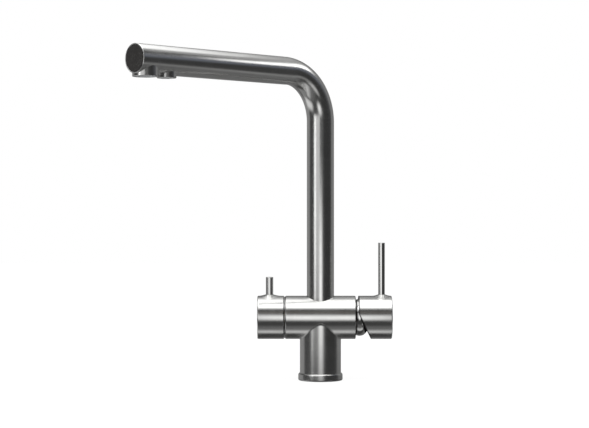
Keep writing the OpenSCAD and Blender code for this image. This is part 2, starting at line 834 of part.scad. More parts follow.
module cartridge_housing() {
    roof_end = carrier_end + run_fit + roof_t;
    color(plastic) difference() {
        union() {
            bar_x(fixed_x, barrel_end - nut_t - run_fit, cartridge_r - seat_fit);
            bar_x(fixed_x, roof_end, housing_step_r);
            bar_x(fixed_x, neck_end, neck_r);
        }
        bar_x(fixed_x - cut, carrier_end + run_fit, cavity_r);
        bar_x(fixed_x, neck_end + cut, neck_bore_r);
    }
}

module cartridge_nut() {
    color(brass) to_right(barrel_end - nut_t) difference() {
        ring(housing_step_r + seat_fit, nut_r, nut_t - run_fit);
        for (a = [0, 90]) rotate([0, 0, a])
            translate([-nut_r - cut, -nut_slot_w / 2, nut_t - nut_slot_h])
                cube([2 * (nut_r + cut), nut_slot_w, nut_slot_h + cut]);
    }
}

module dome_ring() {
    color(steel) to_right(0) rotate_extrude() difference() {
        translate([dome_r - dome_bulge_r, pivot_x]) circle(dome_bulge_r);
        translate([dome_r - dome_bulge_r, pivot_x]) circle(dome_bulge_r - dome_t);
        square([2 * dome_r, barrel_end + dome_seat]);
        translate([-2 * dome_r, 0]) square([2 * dome_r + dome_bore_r, pivot_x + 2 * dome_bulge_r]);
    }
}

module mixer_stem() {
    color(brass) difference() {
        union() {
            translate([ball_x, 0, barrel_z]) sphere(ball_r);
            bar_x(ball_x, stem_full_x, stem_neck_r);
            to_right(stem_cone_x) cylinder(h = stem_full_x - stem_cone_x, r1 = stem_neck_r, r2 = stem_r);
            bar_x(stem_full_x, handle_x + handle_cavity_l + stem_in_handle, stem_r);
        }
        bar_y(-stem_r - cut, stem_r + cut, pin_r + run_fit, pivot_x, barrel_z);
    }
}

// The mixer handle: a cup with a slanted cut that lets it tilt, and a pin to lift it by
module mixer_handle() {
    box = 2 * barrel_d;
    lever_flare_w = lever_in - edge_r - lever_r;
    socket_x = handle_x + handle_cavity_l;
    color(steel) difference() {
        union() {
            to_right(handle_x) round_bar(barrel_r, handle_l, edge_r);
            translate([lever_x, 0, barrel_z]) flare(lever_r, lever_flare_w);
        }
        bar_x(handle_x - cut, socket_x, handle_cavity_r);
        bar_x(handle_x, socket_x + stem_in_handle + run_fit, stem_r + seat_fit);
        bar_z(barrel_z + stem_r + lever_foot, barrel_z + barrel_r + flare_h + cut,
            lever_r + seat_fit, lever_x);
        bar_z(barrel_z - barrel_r - cut, barrel_z, handle_screw_r + seat_fit, handle_screw_x);
        bar_z(barrel_z - barrel_r - cut, barrel_z - barrel_r + plug_h + seat_fit,
            plug_r + seat_fit, handle_screw_x);
        translate([handle_x, 0, barrel_z + cut_top]) rotate([0, -cut_deg, 0])
            translate([-box, -box / 2, -box]) cube(box);
    }
}

module mixer_lever_pin() {
    foot = stem_r + lever_foot + seat_fit;
    color(steel) translate([lever_x, 0, barrel_z + foot]) round_bar(lever_r, lever_top - foot, lever_edge);
}

module handle_grub_screw() {
    color(dark_steel) translate([handle_screw_x, 0, barrel_z - stem_r - seat_fit]) mirror([0, 0, 1])
        grub_screw(handle_screw_r, handle_screw_l, handle_socket_r, handle_socket_h);
}

module handle_plug() {
    color(steel) intersection() {
        bar_z(barrel_z - barrel_r - cut, barrel_z - barrel_r + plug_h, plug_r, handle_screw_x);
        bar_x(handle_screw_x - barrel_r, handle_screw_x + barrel_r, barrel_r - seat_fit);
    }
}

// Swivel spout, carried by an adapter whose spigot turns in the body
module spout_adapter() {
    tip_deg = asin((lock_tip_r + 2 * seat_fit) / (spigot_r - lock_groove_depth));
    top = tube_z + adapter_h + nipple_h;
    color(brass) difference() {
        union() {
            bar_z(barrel_z + spigot_end_up, top - nipple_h, spigot_r);
            bar_z(tube_z, top - nipple_h, adapter_r);
            bar_z(tube_z, top, nipple_r);
        }
        for (up = ring_ups) translate([0, 0, barrel_z + up - ring_groove_h / 2])
            ring(ring_mid_r - ring_r - run_fit, spigot_r + cut, ring_groove_h);
        translate([0, 0, barrel_z + filter_up - filter_channel_h / 2])
            ring(spigot_r - filter_channel_depth, spigot_r + cut, filter_channel_h);
        translate([0, 0, barrel_z + main_up - main_channel_h / 2])
            ring(spigot_r - main_channel_depth, spigot_r + cut, main_channel_h);
        bar_z(barrel_z + filter_up - filter_cross_r, top + cut, filter_way_r);
        for (a = [0, 90]) rotate([0, 0, a]) bar_x(-spigot_r, spigot_r, filter_cross_r, 0, filter_up);
        for (a = [45 : 90 : 315]) rotate([0, 0, a]) {
            bar_z(barrel_z + main_up - main_way_r, top - nipple_h + cut, main_way_r, main_way_mid_r);
            bar_x(main_way_mid_r, spigot_r, main_way_r, 0, main_up);
        }
        rotate([0, 0, spout_yaw - swing_half - tip_deg]) rotate_extrude(angle = 2 * (swing_half + tip_deg))
            translate([spigot_r - lock_groove_depth, barrel_z + lock_up - lock_groove_h / 2])
                square([lock_groove_depth + cut, lock_groove_h]);
    }
}

module spout_o_rings() {
    color(rubber) for (up = ring_ups) translate([0, 0, barrel_z + up]) o_ring(ring_mid_r, ring_r);
}

module spout_tube() {
    color(steel) in_spout() difference() {
        spout_route(tube_r, tube_z, reach);
        spout_route(bore_r, tube_z - cut, reach + cut);
        bar_z(outlet_z - cut, spout_h, main_outlet_r + seat_fit, main_x);
        bar_z(outlet_z - cut, spout_h, filter_outlet_r + seat_fit, filter_x);
    }
}

// Inner hose for the filtered water, from the adapter's nipple to its own outlet
module hose_route(r, over) {
    spout_route(r, tube_z + adapter_h + run_fit - over, filter_x - elbow_r);
    translate([filter_x - elbow_r, 0, spout_h - elbow_r]) rotate([90, 0, 0])
        rotate_extrude(angle = 90) translate([elbow_r, 0]) circle(r);
    bar_z(filter_collar_top + run_fit - over, spout_h - elbow_r, r, filter_x);
}

module filter_tube() {
    color(plastic) in_spout() difference() {
        hose_route(hose_r, 0);
        hose_route(hose_bore_r, cut);
    }
}

module spout_end_cap() {
    color(dark_steel) in_spout() translate([reach - end_cap_t, 0, spout_h]) rotate([0, 90, 0])
        round_bar(bore_r - seat_fit, end_cap_t, end_cap_edge);
}

// Profile of an outlet's collar: a wall with a rounded rim below
module collar_wall_profile(r_in, r_out, h) {
    translate([r_in, outlet_edge_r]) square([r_out - r_in, h - outlet_edge_r]);
    translate([r_in + outlet_edge_r, 0]) square([r_out - r_in - 2 * outlet_edge_r, h]);
    translate([r_in + outlet_edge_r, outlet_edge_r]) circle(outlet_edge_r);
    translate([r_out - outlet_edge_r, outlet_edge_r]) circle(outlet_edge_r);
}

module main_outlet_collar() {
    h = main_collar_top - outlet_z;
    color(steel) in_spout() translate([main_x, 0, outlet_z]) rotate_extrude() {
        collar_wall_profile(main_bore_r, main_outlet_r, h);
        translate([main_bore_r - collar_ledge, h - collar_ledge_h])
            square([main_outlet_r - main_bore_r + collar_ledge, collar_ledge_h]);
    }
}

module filter_outlet_collar() {
    h = filter_collar_top - outlet_z;
    color(steel) in_spout() translate([filter_x, 0, outlet_z]) rotate_extrude() {
        collar_wall_profile(filter_bore_r, filter_outlet_r, h);
        translate([filter_way_r, h - filter_plate_h])
            square([filter_outlet_r - filter_way_r, filter_plate_h]);
        translate([filter_way_r, h - filter_plate_h])
            square([nipple_r - filter_way_r, filter_plate_h + elbow_leg]);
    }
}

// An aerator: a cup with a perforated floor, open at the top
module aerator(r, h, hole_r, pitch) {
    difference() {
        cylinder(h = h, r = r);
        translate([0, 0, grid_h]) cylinder(h = h, r = r - grid_rim);
        hole_pattern(r - 2 * grid_rim, pitch, hole_r, grid_h);
    }
}

module main_aerator() {
    z = outlet_z + aerator_sunk;
    color(grey_plastic) in_spout() translate([main_x, 0, z])
        aerator(main_bore_r - seat_fit, main_washer_z - seat_fit - z, main_hole_r, main_hole_pitch);
}

module main_aerator_screen() {
    color(plastic) in_spout() translate([main_x, 0, main_washer_z - screen_h]) difference() {
        cylinder(h = screen_h, r = main_bore_r - grid_rim - 2 * seat_fit);
        hole_pattern(main_bore_r - 2 * grid_rim, main_hole_pitch, screen_hole_r, screen_h);
    }
}

module main_aerator_washer() {
    color(rubber) in_spout() translate([main_x, 0, main_washer_z])
        ring(main_bore_r - collar_ledge, main_bore_r - seat_fit, washer_h);
}

module filter_aerator() {
    z = outlet_z + aerator_sunk;
    color(grey_plastic) in_spout() translate([filter_x, 0, z])
        aerator(filter_bore_r - seat_fit, filter_washer_z - seat_fit - z, filter_hole_r, filter_hole_pitch);
}

module filter_aerator_washer() {
    color(rubber) in_spout() translate([filter_x, 0, filter_washer_z])
        ring(filter_bore_r - collar_ledge, filter_bore_r - seat_fit, washer_h);
}

valve_body();
column_skirt();
base_flange();
base_gasket();
inlet_block();
inlet_seals();
inlet_screws();
spout_glide_ring();
spout_lock_screw();
filter_headwork();
headwork_o_ring();
filter_seat_seal();
filter_fixed_disc();
cartridge_base();
cartridge_seals();
cartridge_fixed_disc();
cartridge_housing();
cartridge_nut();
dome_ring();
spout_tube();
spout_adapter();
spout_o_rings();
filter_tube();
spout_end_cap();
main_outlet_collar();
main_aerator();
main_aerator_screen();
main_aerator_washer();
filter_outlet_collar();
filter_aerator();
filter_aerator_washer();
filter_knob();
filter_knob_pin();
knob_grub_screw();
filter_spindle();
spindle_o_ring();
spindle_clip();
filter_moving_disc();
stem_carrier();
stem_pivot_pin();
cartridge_moving_disc();
disc_driver();
mixer_handle();
mixer_lever_pin();
mixer_stem();
handle_grub_screw();
handle_plug();
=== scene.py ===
# Three way filtered water tap in brushed stainless steel, dressed piece by piece around its packed
# frame. Sizes are in millimetres unless a name says otherwise, and Blender's lengths are metres.
import json
import math

import bmesh
import bpy
import numpy as np
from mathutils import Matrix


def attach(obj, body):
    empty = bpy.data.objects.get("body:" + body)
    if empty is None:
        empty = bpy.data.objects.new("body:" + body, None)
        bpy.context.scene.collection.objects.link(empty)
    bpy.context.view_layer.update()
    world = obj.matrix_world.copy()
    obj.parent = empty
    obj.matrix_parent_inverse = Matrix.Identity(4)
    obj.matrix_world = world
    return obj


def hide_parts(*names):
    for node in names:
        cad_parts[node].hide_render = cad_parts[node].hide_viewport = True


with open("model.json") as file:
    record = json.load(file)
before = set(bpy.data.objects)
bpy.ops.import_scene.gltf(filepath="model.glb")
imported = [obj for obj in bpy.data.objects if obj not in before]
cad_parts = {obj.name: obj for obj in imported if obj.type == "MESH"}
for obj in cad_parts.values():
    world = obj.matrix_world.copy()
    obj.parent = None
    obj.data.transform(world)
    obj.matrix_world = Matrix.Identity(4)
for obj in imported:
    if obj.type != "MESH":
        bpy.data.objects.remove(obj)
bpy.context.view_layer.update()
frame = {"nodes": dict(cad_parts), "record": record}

# Camera: a long lens a little above the middle of the tap, square to the barrel, so that the
# spout's arm comes towards it at 45 degrees and looks short.
collection = bpy.context.scene.collection
sensor_width = 36.0
lens = 101.03
far_limit = 30.0
camera_at = (-0.0267, -1.7025, 0.1709)
level_view = math.radians(90)
camera_data = bpy.data.cameras.new("camera")
camera_data.sensor_width = sensor_width
camera_data.lens = lens
camera_data.clip_end = far_limit
camera = bpy.data.objects.new("camera", camera_data)
camera.location = camera_at
camera.rotation_euler = (level_view, 0, 0)
collection.objects.link(camera)
bpy.context.scene.camera = camera
bpy.context.scene.view_settings.view_transform = "Standard"


# Studio: a pale floor and a white room, a dark tent that only the metal sees, and lit or black
# cards inside it. They make the long white and dark bands of the steel.
def node_of(tree, kind, **values):
    """A shader node with its plain settings and input values filled in by name."""
    made = tree.nodes.new(kind)
    for key, value in values.items():
        if key in made.inputs:
            made.inputs[key].default_value = value
        else:
            setattr(made, key, value)
    return made


def plane(name, centre, across, up, width, height):
    """A flat sheet: its four corners are the centre plus or minus half of each side's vector."""
    centre, across, up = (np.array(v, float) for v in (centre, across, up))
    signs = np.array([[-1, -1], [1, -1], [1, 1], [-1, 1]])
    corners = centre + signs[:, :1] * across * width / 2 + signs[:, 1:] * up * height / 2
    mesh = bpy.data.meshes.new(name)
    mesh.from_pydata(corners.tolist(), [], [[0, 1, 2, 3]])
    layer = mesh.uv_layers.new(name="sheet")
    layer.data.foreach_set("uv", ((signs + 1) / 2).ravel())
    made = bpy.data.objects.new(name, mesh)
    collection.objects.link(made)
    return made


def metal_only(made):
    """Only reflections see this object: it gives no light and no shadow, and no camera sees it."""
    made.visible_camera = False
    made.visible_diffuse = False
    made.visible_shadow = False
    made.visible_transmission = False
    made.visible_volume_scatter = False


def card_material(name, level, tint, soft):
    """Even light of one level. It fades to nothing over a share of the sheet at each of its edges:
    left, right, bottom and top."""
    material = bpy.data.materials.new(name)
    material.use_nodes = True
    tree = material.node_tree
    tree.nodes.clear()
    sheet = node_of(tree, "ShaderNodeUVMap", uv_map="sheet")
    parts = tree.nodes.new("ShaderNodeSeparateXYZ")
    tree.links.new(sheet.outputs["UV"], parts.inputs[0])
    shown = None
    for side, edge, share in zip("XXYY", (0, 1, 0, 1), soft):
        fade = node_of(tree, "ShaderNodeMapRange", interpolation_type="SMOOTHSTEP")
        fade.inputs["From Min"].default_value = edge
        fade.inputs["From Max"].default_value = edge + share - 2 * share * edge
        tree.links.new(parts.outputs[side], fade.inputs["Value"])
        if shown is None:
            shown = fade.outputs["Result"]
            continue
        both = node_of(tree, "ShaderNodeMath", operation="MULTIPLY")
        tree.links.new(shown, both.inputs[0])
        tree.links.new(fade.outputs["Result"], both.inputs[1])
        shown = both.outputs[0]
    glow = node_of(tree, "ShaderNodeEmission", Color=(*tint, 1), Strength=level)
    clear = tree.nodes.new("ShaderNodeBsdfTransparent")
    mix = tree.nodes.new("ShaderNodeMixShader")
    out = tree.nodes.new("ShaderNodeOutputMaterial")
    tree.links.new(shown, mix.inputs[0])
    tree.links.new(clear.outputs[0], mix.inputs[1])
    tree.links.new(glow.outputs[0], mix.inputs[2])
    tree.links.new(mix.outputs[0], out.inputs["Surface"])
    return material


neutral = (1.0, 1.0, 1.0)
warm = (1.0, 0.93, 0.86)
cool = (0.8, 0.85, 1.0)
narrow_fade = (0.1, 0.1, 0.1, 0.1)
wide_fade = (0.3, 0.3, 0.3, 0.3)


def card(name, about, turn, rise, distance, size, level, tint=neutral, soft=narrow_fade):
    """A card that faces a point of the tap, at a distance in metres along a direction: turn goes from
    the camera's side to the right, and rise from level upwards. Size is its width and height."""
    a, e = math.radians(turn), math.radians(rise)
    out = np.array([math.sin(a) * math.cos(e), -math.cos(a) * math.cos(e), math.sin(e)])
    across = np.array([math.cos(a), math.sin(a), 0])
    up = np.cross(across, -out)
    made = plane(name, np.array(about) + out * distance, across, up, *size)
    made.data.materials.append(card_material(name, level, tint, soft))
    metal_only(made)


tent_radius = 3.0
tent_level = 0.06
tent_mesh = bpy.data.meshes.new("tent")
shell = bmesh.new()
bmesh.ops.create_icosphere(shell, subdivisions=4, radius=tent_radius)
shell.to_mesh(tent_mesh)
shell.free()
tent = bpy.data.objects.new("tent", tent_mesh)
collection.objects.link(tent)
metal_only(tent)
tent_cloth = bpy.data.materials.new("tent_cloth")
tent_cloth.use_nodes = True
tent_cloth.node_tree.nodes.clear()
tent_glow = node_of(tent_cloth.node_tree, "ShaderNodeEmission", Color=(*neutral, 1), Strength=tent_level)
tent_out = tent_cloth.node_tree.nodes.new("ShaderNodeOutputMaterial")
tent_cloth.node_tree.links.new(tent_glow.outputs[0], tent_out.inputs["Surface"])
tent_mesh.materials.append(tent_cloth)

at_barrel = (0, -0.02, 0.064)
at_tube = (0, 0, 0.17)
at_arm = (-0.1, -0.1, 0.315)
below_deck = (0, 0, -0.08)
barrel_middle = (0.02, 0, 0.076)
over_bend = (0, 0, 0.45)
well_over_bend = (0, 0, 0.485)
far_over_bend = (0, 0, 0.67)


def flat_card(name, x_range, y_range, z, level, soft):
    """A level card between two values of x and of y, at one height."""
    (x0, x1), (y0, y1) = x_range, y_range
    centre = ((x0 + x1) / 2, (y0 + y1) / 2, z)
    made = plane(name, centre, (1, 0, 0), (0, 1, 0), x1 - x0, y1 - y0)
    made.data.materials.append(card_material(name, level, neutral, soft))
    metal_only(made)


flat_card(
    "card_overhead", x_range=(-1.3, 0.75), y_range=(-1.63, 0.76), z=1.56, level=2.9,
    soft=(0.2, 0.2, 0.5, 0.29),
)
card(
    "card_overhead_fade", at_barrel, turn=180, rise=58, distance=2.0, size=(2.4, 1.7), level=0.24,
    soft=(0.2, 0.2, 0.4, 0.45),
)
card(
    "card_beside_camera", barrel_middle, turn=0, rise=0, distance=0.5, size=(0.34, 0.38), level=1.5,
    soft=(0.35, 0.42, 0.45, 0.45),
)
card(
    "card_middle_high", over_bend, turn=13, rise=0, distance=1.5, size=(0.7, 0.4), level=0.2,
    soft=(0.25, 0.65, 0.4, 0.3),
)
card(
    "card_left_front", well_over_bend, turn=-31, rise=0, distance=1.6, size=(1.6, 1.3), level=0.75,
    soft=(0.06, 0.06, 0.22, 0.22),
)
card(
    "card_left_front_edge", well_over_bend, turn=-47, rise=0, distance=1.45, size=(0.36, 1.3), level=2.6,
    soft=(0.45, 0.45, 0.22, 0.22),
)
card("card_black_right", at_tube, turn=56, rise=0, distance=1.4, size=(1.6, 1.3), level=0.041)
card(
    "card_right_back", far_over_bend, turn=131, rise=0, distance=1.7, size=(2.1, 2.0), level=0.26,
    soft=(0.12, 0.12, 0.12, 0.2),
)
card(
    "card_left_back", below_deck, turn=-133, rise=0, distance=1.7, size=(2.2, 1.5), level=0.32,
    soft=(0.08, 0.08, 0.2, 0.13),
)
card(
    "card_back", at_tube, turn=180, rise=-8, distance=1.9, size=(2.2, 3.3), level=0.22,
    soft=(0.15, 0.15, 0.3, 0.2),
)
flat_card(
    "card_below_broad", x_range=(-1.0, 1.0), y_range=(-1.75, -0.04), z=-1.2, level=0.17,
    soft=(0.15, 0.15, 0.5, 0.4),
)
flat_card(
    "card_below_left", x_range=(-1.7, -0.2), y_range=(0.0, 1.6), z=-1.2, level=0.3,
    soft=(0.2, 0.2, 0.2, 0.2),
)
flat_card(
    "card_below", x_range=(-1.0, 1.0), y_range=(-0.72, 0.14), z=-1.19, level=0.75,
    soft=(0.15, 0.15, 0.6, 0.38),
)
card(
    "card_warm_dark", at_barrel, turn=0, rise=30, distance=1.6, size=(1.2, 0.5), level=0.125, tint=warm,
    soft=(0.2, 0.2, 0.3, 0.3),
)
flat_card(
    "card_right_high", x_range=(0.17, 0.5), y_range=(-0.12, 0.22), z=0.53, level=2.2,
    soft=(0.4, 0.2, 0.2, 0.2),
)
card(
    "card_right_side", at_arm, turn=94, rise=18, distance=1.2, size=(1.0, 0.75), level=0.2, tint=cool,
    soft=(0.2, 0.2, 0.4, 0.4),
)
card(
    "card_right_low", at_arm, turn=91, rise=-32, distance=1.2, size=(1.0, 0.4), level=0.28,
    soft=(0.2, 0.2, 0.4, 0.4),
)
card(
    "card_back_low", at_arm, turn=140, rise=-42, distance=1.6, size=(2.4, 1.2), level=0.17,
    soft=(0.2, 0.2, 0.3, 0.3),
)
card(
    "card_back_high", at_arm, turn=146, rise=44, distance=1.6, size=(2.3, 1.25), level=0.44,
    soft=(0.15, 0.2, 0.35, 0.3),
)
card(
    "card_left_low", at_tube, turn=-88, rise=-34, distance=1.7, size=(2.4, 1.4), level=0.95,
    soft=(0.3, 0.3, 0.4, 0.4),
)
card(
    "card_left_high", at_tube, turn=-95, rise=47, distance=1.8, size=(2.2, 1.3), level=1.1,
    soft=(0.3, 0.3, 0.3, 0.4),
)
card(
    "card_front_left_high", at_tube, turn=-38, rise=42, distance=1.9, size=(0.7, 0.8), level=1.2,
    soft=wide_fade,
)
card(
    "card_front_right_high", at_tube, turn=55, rise=45, distance=1.9, size=(1.3, 1.0), level=1.2,
    soft=wide_fade,
)
card(
    "card_front_right_low", at_tube, turn=55, rise=-30, distance=1.9, size=(1.2, 1.2), level=0.7,
    soft=wide_fade,
)
diagonal = math.sqrt(0.5)
along_arm = (diagonal, diagonal, 0)
across_arm = (-diagonal, diagonal, 0)
over_outlets = (-0.1, 0.185, 0.67)
outlet_card = plane("card_outlet_high", over_outlets, along_arm, across_arm, width=0.52, height=0.6)
outlet_card.data.materials.append(
    card_material("card_outlet_high", level=1.7, tint=neutral, soft=(0.1, 0.6, 0.1, 0.3))
)
metal_only(outlet_card)


def looked_at(tree):
    """One where the camera, a reflection or a view through glass meets the surface, else nothing:
    the largest of the three rays' marks."""
    path = tree.nodes.new("ShaderNodeLightPath")
    met = path.outputs["Is Camera Ray"]
    for ray in ("Is Glossy Ray", "Is Transmission Ray"):
        either = node_of(tree, "ShaderNodeMath", operation="MAXIMUM")
        tree.links.new(met, either.inputs[0])
        tree.links.new(path.outputs[ray], either.inputs[1])
        met = either.outputs[0]
    return met


floor_size = 8.0
floor_drop = 0.0003
floor_colour = (0.94, 0.94, 0.94, 1)
white = (1, 1, 1, 1)
shadow_share = 0.14
floor_glow = 1.07
floor = plane("floor", (0, 0, -floor_drop), (1, 0, 0), (0, 1, 0), floor_size, floor_size)
floor.visible_glossy = False
floor_paper = bpy.data.materials.new("floor_paper")
floor_paper.use_nodes = True
tree = floor_paper.node_tree
tree.nodes.clear()
paper = node_of(tree, "ShaderNodeBsdfDiffuse", Color=floor_colour)
bright = node_of(tree, "ShaderNodeEmission", Color=white, Strength=floor_glow)
share = node_of(tree, "ShaderNodeMath", operation="MULTIPLY")
share.inputs[1].default_value = 1 - shadow_share
mix = tree.nodes.new("ShaderNodeMixShader")
out = tree.nodes.new("ShaderNodeOutputMaterial")
tree.links.new(looked_at(tree), share.inputs[0])
tree.links.new(share.outputs[0], mix.inputs[0])
tree.links.new(paper.outputs[0], mix.inputs[1])
tree.links.new(bright.outputs[0], mix.inputs[2])
tree.links.new(mix.outputs[0], out.inputs["Surface"])
floor.data.materials.append(floor_paper)

room_level = 0.75
backdrop_level = 1.0
world = bpy.data.worlds.new("white_room")
world.use_nodes = True
bpy.context.scene.world = world
tree = world.node_tree
tree.nodes.clear()
room = node_of(tree, "ShaderNodeBackground", Color=white, Strength=room_level)
backdrop = node_of(tree, "ShaderNodeBackground", Color=white, Strength=backdrop_level)
mix = tree.nodes.new("ShaderNodeMixShader")
out = tree.nodes.new("ShaderNodeOutputWorld")
tree.links.new(looked_at(tree), mix.inputs[0])
tree.links.new(room.outputs[0], mix.inputs[1])
tree.links.new(backdrop.outputs[0], mix.inputs[2])
tree.links.new(mix.outputs[0], out.inputs["Surface"])

lamp_power = 9.0
lamp_size = 0.9
lamp_at = (-0.5, -0.7, 1.5)
lamp_tilt = math.radians(25)
lamp_turn = math.radians(-35)
lamp_data = bpy.data.lights.new("soft_lamp", "AREA")
lamp_data.size = lamp_size
lamp_data.energy = lamp_power
lamp = bpy.data.objects.new("soft_lamp", lamp_data)
lamp.location = lamp_at
lamp.rotation_euler = (lamp_tilt, 0, lamp_turn)
lamp.visible_glossy = False
collection.objects.link(lamp)


# Body: the barrel and the column are stainless steel castings, turned and brushed round, and
# welded at a crisp saddle. The barrel is bored for the cartridge, the headwork and the spout.
def new_marks(name, place, fineness):
    """An empty shader node group for the marks of a finish, and its input and output nodes. It takes a
    place, a fineness per metre, two tones and two roughnesses."""
    group = bpy.data.node_groups.new(name, "ShaderNodeTree")
    for label, kind in (
        (place, "Vector"), (fineness, "Float"), ("Light Tone", "Color"), ("Dark Tone", "Color"),
        ("Smooth", "Float"), ("Rough", "Float"),
    ):
        group.interface.new_socket(label, in_out="INPUT", socket_type="NodeSocket" + kind)
    for label, kind in (("Color", "Color"), ("Roughness", "Float"), ("Height", "Float")):
        group.interface.new_socket(label, in_out="OUTPUT", socket_type="NodeSocket" + kind)
    return group, group.nodes.new("NodeGroupInput"), group.nodes.new("NodeGroupOutput")


def put_out(group, given, made, tone_mask, dull_mask, height, dull_from=0.0, dull_to=1.0):
    """Ends a group of marks: one mask leads from the dark tone to the light one, and another, between
    its two limits, from smooth to rough."""
    tone = node_of(group, "ShaderNodeMix", data_type="RGBA")
    group.links.new(tone_mask, tone.inputs[0])
    group.links.new(given.outputs["Dark Tone"], tone.inputs[6])
    group.links.new(given.outputs["Light Tone"], tone.inputs[7])
    rough = node_of(group, "ShaderNodeMapRange")
    rough.inputs["From Min"].default_value = dull_from
    rough.inputs["From Max"].default_value = dull_to
    group.links.new(dull_mask, rough.inputs["Value"])
    group.links.new(given.outputs["Smooth"], rough.inputs["To Min"])
    group.links.new(given.outputs["Rough"], rough.inputs["To Max"])
    group.links.new(tone.outputs[2], made.inputs["Color"])
    group.links.new(rough.outputs["Result"], made.inputs["Roughness"])
    group.links.new(height, made.inputs["Height"])


# Brushing: noise drawn out 60 times along the skin's second direction gives the fine scratches,
# and two slower noises give the faint bands and the patches left by the abrasive belt.
brushing, given, made = new_marks("brushing", "Skin", "Lines per Metre")
drawn_out = 60.0
band_share = 0.06
patch_share = 0.012
patch_length = 4.0
half_each = 0.5
parts = brushing.nodes.new("ShaderNodeSeparateXYZ")
brushing.links.new(given.outputs["Skin"], parts.inputs[0])


def stretched_noise(group, across_scale, along_scale, parts, lines, detail):
    """Noise on the skin, fine across the scratches and drawn out along them."""
    joined = group.nodes.new("ShaderNodeCombineXYZ")
    for axis, (output, scale) in enumerate(((0, across_scale), (1, along_scale))):
        step = node_of(group, "ShaderNodeMath", operation="MULTIPLY")
        size = node_of(group, "ShaderNodeMath", operation="MULTIPLY")
        size.inputs[1].default_value = scale
        group.links.new(lines, size.inputs[0])
        group.links.new(parts.outputs[output], step.inputs[0])
        group.links.new(size.outputs[0], step.inputs[1])
        group.links.new(step.outputs[0], joined.inputs[axis])
    noise = node_of(group, "ShaderNodeTexNoise", Scale=1.0, Detail=detail, Roughness=0.6)
    group.links.new(joined.outputs[0], noise.inputs["Vector"])
    return noise.outputs["Fac"]


lines_out = given.outputs["Lines per Metre"]
fine = stretched_noise(brushing, 1, 1 / drawn_out, parts, lines_out, detail=3.0)
bands = stretched_noise(brushing, band_share, band_share / drawn_out, parts, lines_out, detail=2.0)
patches = stretched_noise(brushing, patch_share, patch_share / patch_length, parts, lines_out, detail=2.0)
means = []
for slower in (bands, patches):
    mean = node_of(brushing, "ShaderNodeMix", data_type="FLOAT")
    mean.inputs[0].default_value = half_each
    brushing.links.new(fine, mean.inputs[2])
    brushing.links.new(slower, mean.inputs[3])
    means.append(mean.outputs[0])
put_out(brushing, given, made, *means, fine, dull_from=0.3, dull_to=0.7)

MM = 0.001


def marked(name, group, fineness, light, dark, smooth, rough, depth):
    """A material whose colour, roughness and bump come from a group of marks. It gives back the place
    that the marks still need."""
    material = bpy.data.materials.new(name)
    material.use_nodes = True
    tree = material.node_tree
    shader = tree.nodes["Principled BSDF"]
    marks = node_of(tree, "ShaderNodeGroup", node_tree=group)
    values = (fineness, (*light, 1), (*dark, 1), smooth, rough)
    for socket, value in zip(list(marks.inputs)[1:], values):
        socket.default_value = value
    bump = node_of(tree, "ShaderNodeBump", Distance=depth)
    tree.links.new(marks.outputs["Color"], shader.inputs["Base Color"])
    tree.links.new(marks.outputs["Roughness"], shader.inputs["Roughness"])
    tree.links.new(marks.outputs["Height"], bump.inputs["Height"])
    tree.links.new(bump.outputs["Normal"], shader.inputs["Normal"])
    return material, tree, shader, marks.inputs[0]


def brushed_metal(name, light, dark, smooth, rough, lines=3500.0, depth=2.5e-6, stretch=0.35):
    """Metal with fine scratches that run along the second direction of the skin's own map."""
    material, tree, shader, place = marked(name, brushing, lines, light, dark, smooth, rough, depth)
    tree.links.new(node_of(tree, "ShaderNodeUVMap", uv_map="skin").outputs["UV"], place)
    shader.inputs["Metallic"].default_value = 1.0
    shader.inputs["Anisotropic"].default_value = stretch
    return material


def painted_shade_rim(material, low, high, level, way="X", on_skin=False):
    """Paints shade into a finish at the rim of a gap, where the gap's shadow falls: nothing at low and all
    of it at high, in mm along one way of the piece's place, or along the skin's first direction."""
    tree = material.node_tree
    colour = tree.nodes["Principled BSDF"].inputs["Base Color"]
    parts = tree.nodes.new("ShaderNodeSeparateXYZ")
    if on_skin:
        place = node_of(tree, "ShaderNodeUVMap", uv_map="skin").outputs["UV"]
    else:
        place = tree.nodes.new("ShaderNodeTexCoord").outputs["Object"]
    tree.links.new(place, parts.inputs[0])
    fade = node_of(tree, "ShaderNodeMapRange", interpolation_type="SMOOTHSTEP")
    fade.inputs["From Min"].default_value = low * MM
    fade.inputs["From Max"].default_value = high * MM
    tree.links.new(parts.outputs[way], fade.inputs["Value"])
    tone = node_of(tree, "ShaderNodeMix", data_type="RGBA")
    tone.inputs[7].default_value = (level, level, level, 1)
    tree.links.new(fade.outputs["Result"], tone.inputs[0])
    tree.links.new(colour.links[0].from_socket, tone.inputs[6])
    tree.links.new(tone.outputs[2], colour)


def rounded(corners, steps=6, closed=True):
    """A profile through corners (along, out, radius), each replaced by an arc tangent to both of its
    sides: the arc's centre lies on the bisector at radius / sin(half angle) from the corner."""
    count = len(corners)
    points = []
    for i, (s, r, radius) in enumerate(corners):
        here = np.array([s, r], float)
        if radius == 0 or (not closed and i in (0, count - 1)):
            points.append(here[None])
            continue
        before = np.array(corners[i - 1][:2], float) - here
        after = np.array(corners[(i + 1) % count][:2], float) - here
        before /= np.linalg.norm(before)
        after /= np.linalg.norm(after)
        half = math.acos(np.clip(before @ after, -1, 1)) / 2
        middle = before + after
        middle /= np.linalg.norm(middle)
        centre = here + middle * radius / math.sin(half)
        start = here + before * radius / math.tan(half) - centre
        end = here + after * radius / math.tan(half) - centre
        t = np.linspace(0, 1, steps + 1)[:, None]
        sweep = math.pi - 2 * half
        arc = (np.sin((1 - t) * sweep) * start + np.sin(t * sweep) * end) / math.sin(sweep)
        points.append(centre + arc)
    return np.concatenate(points)


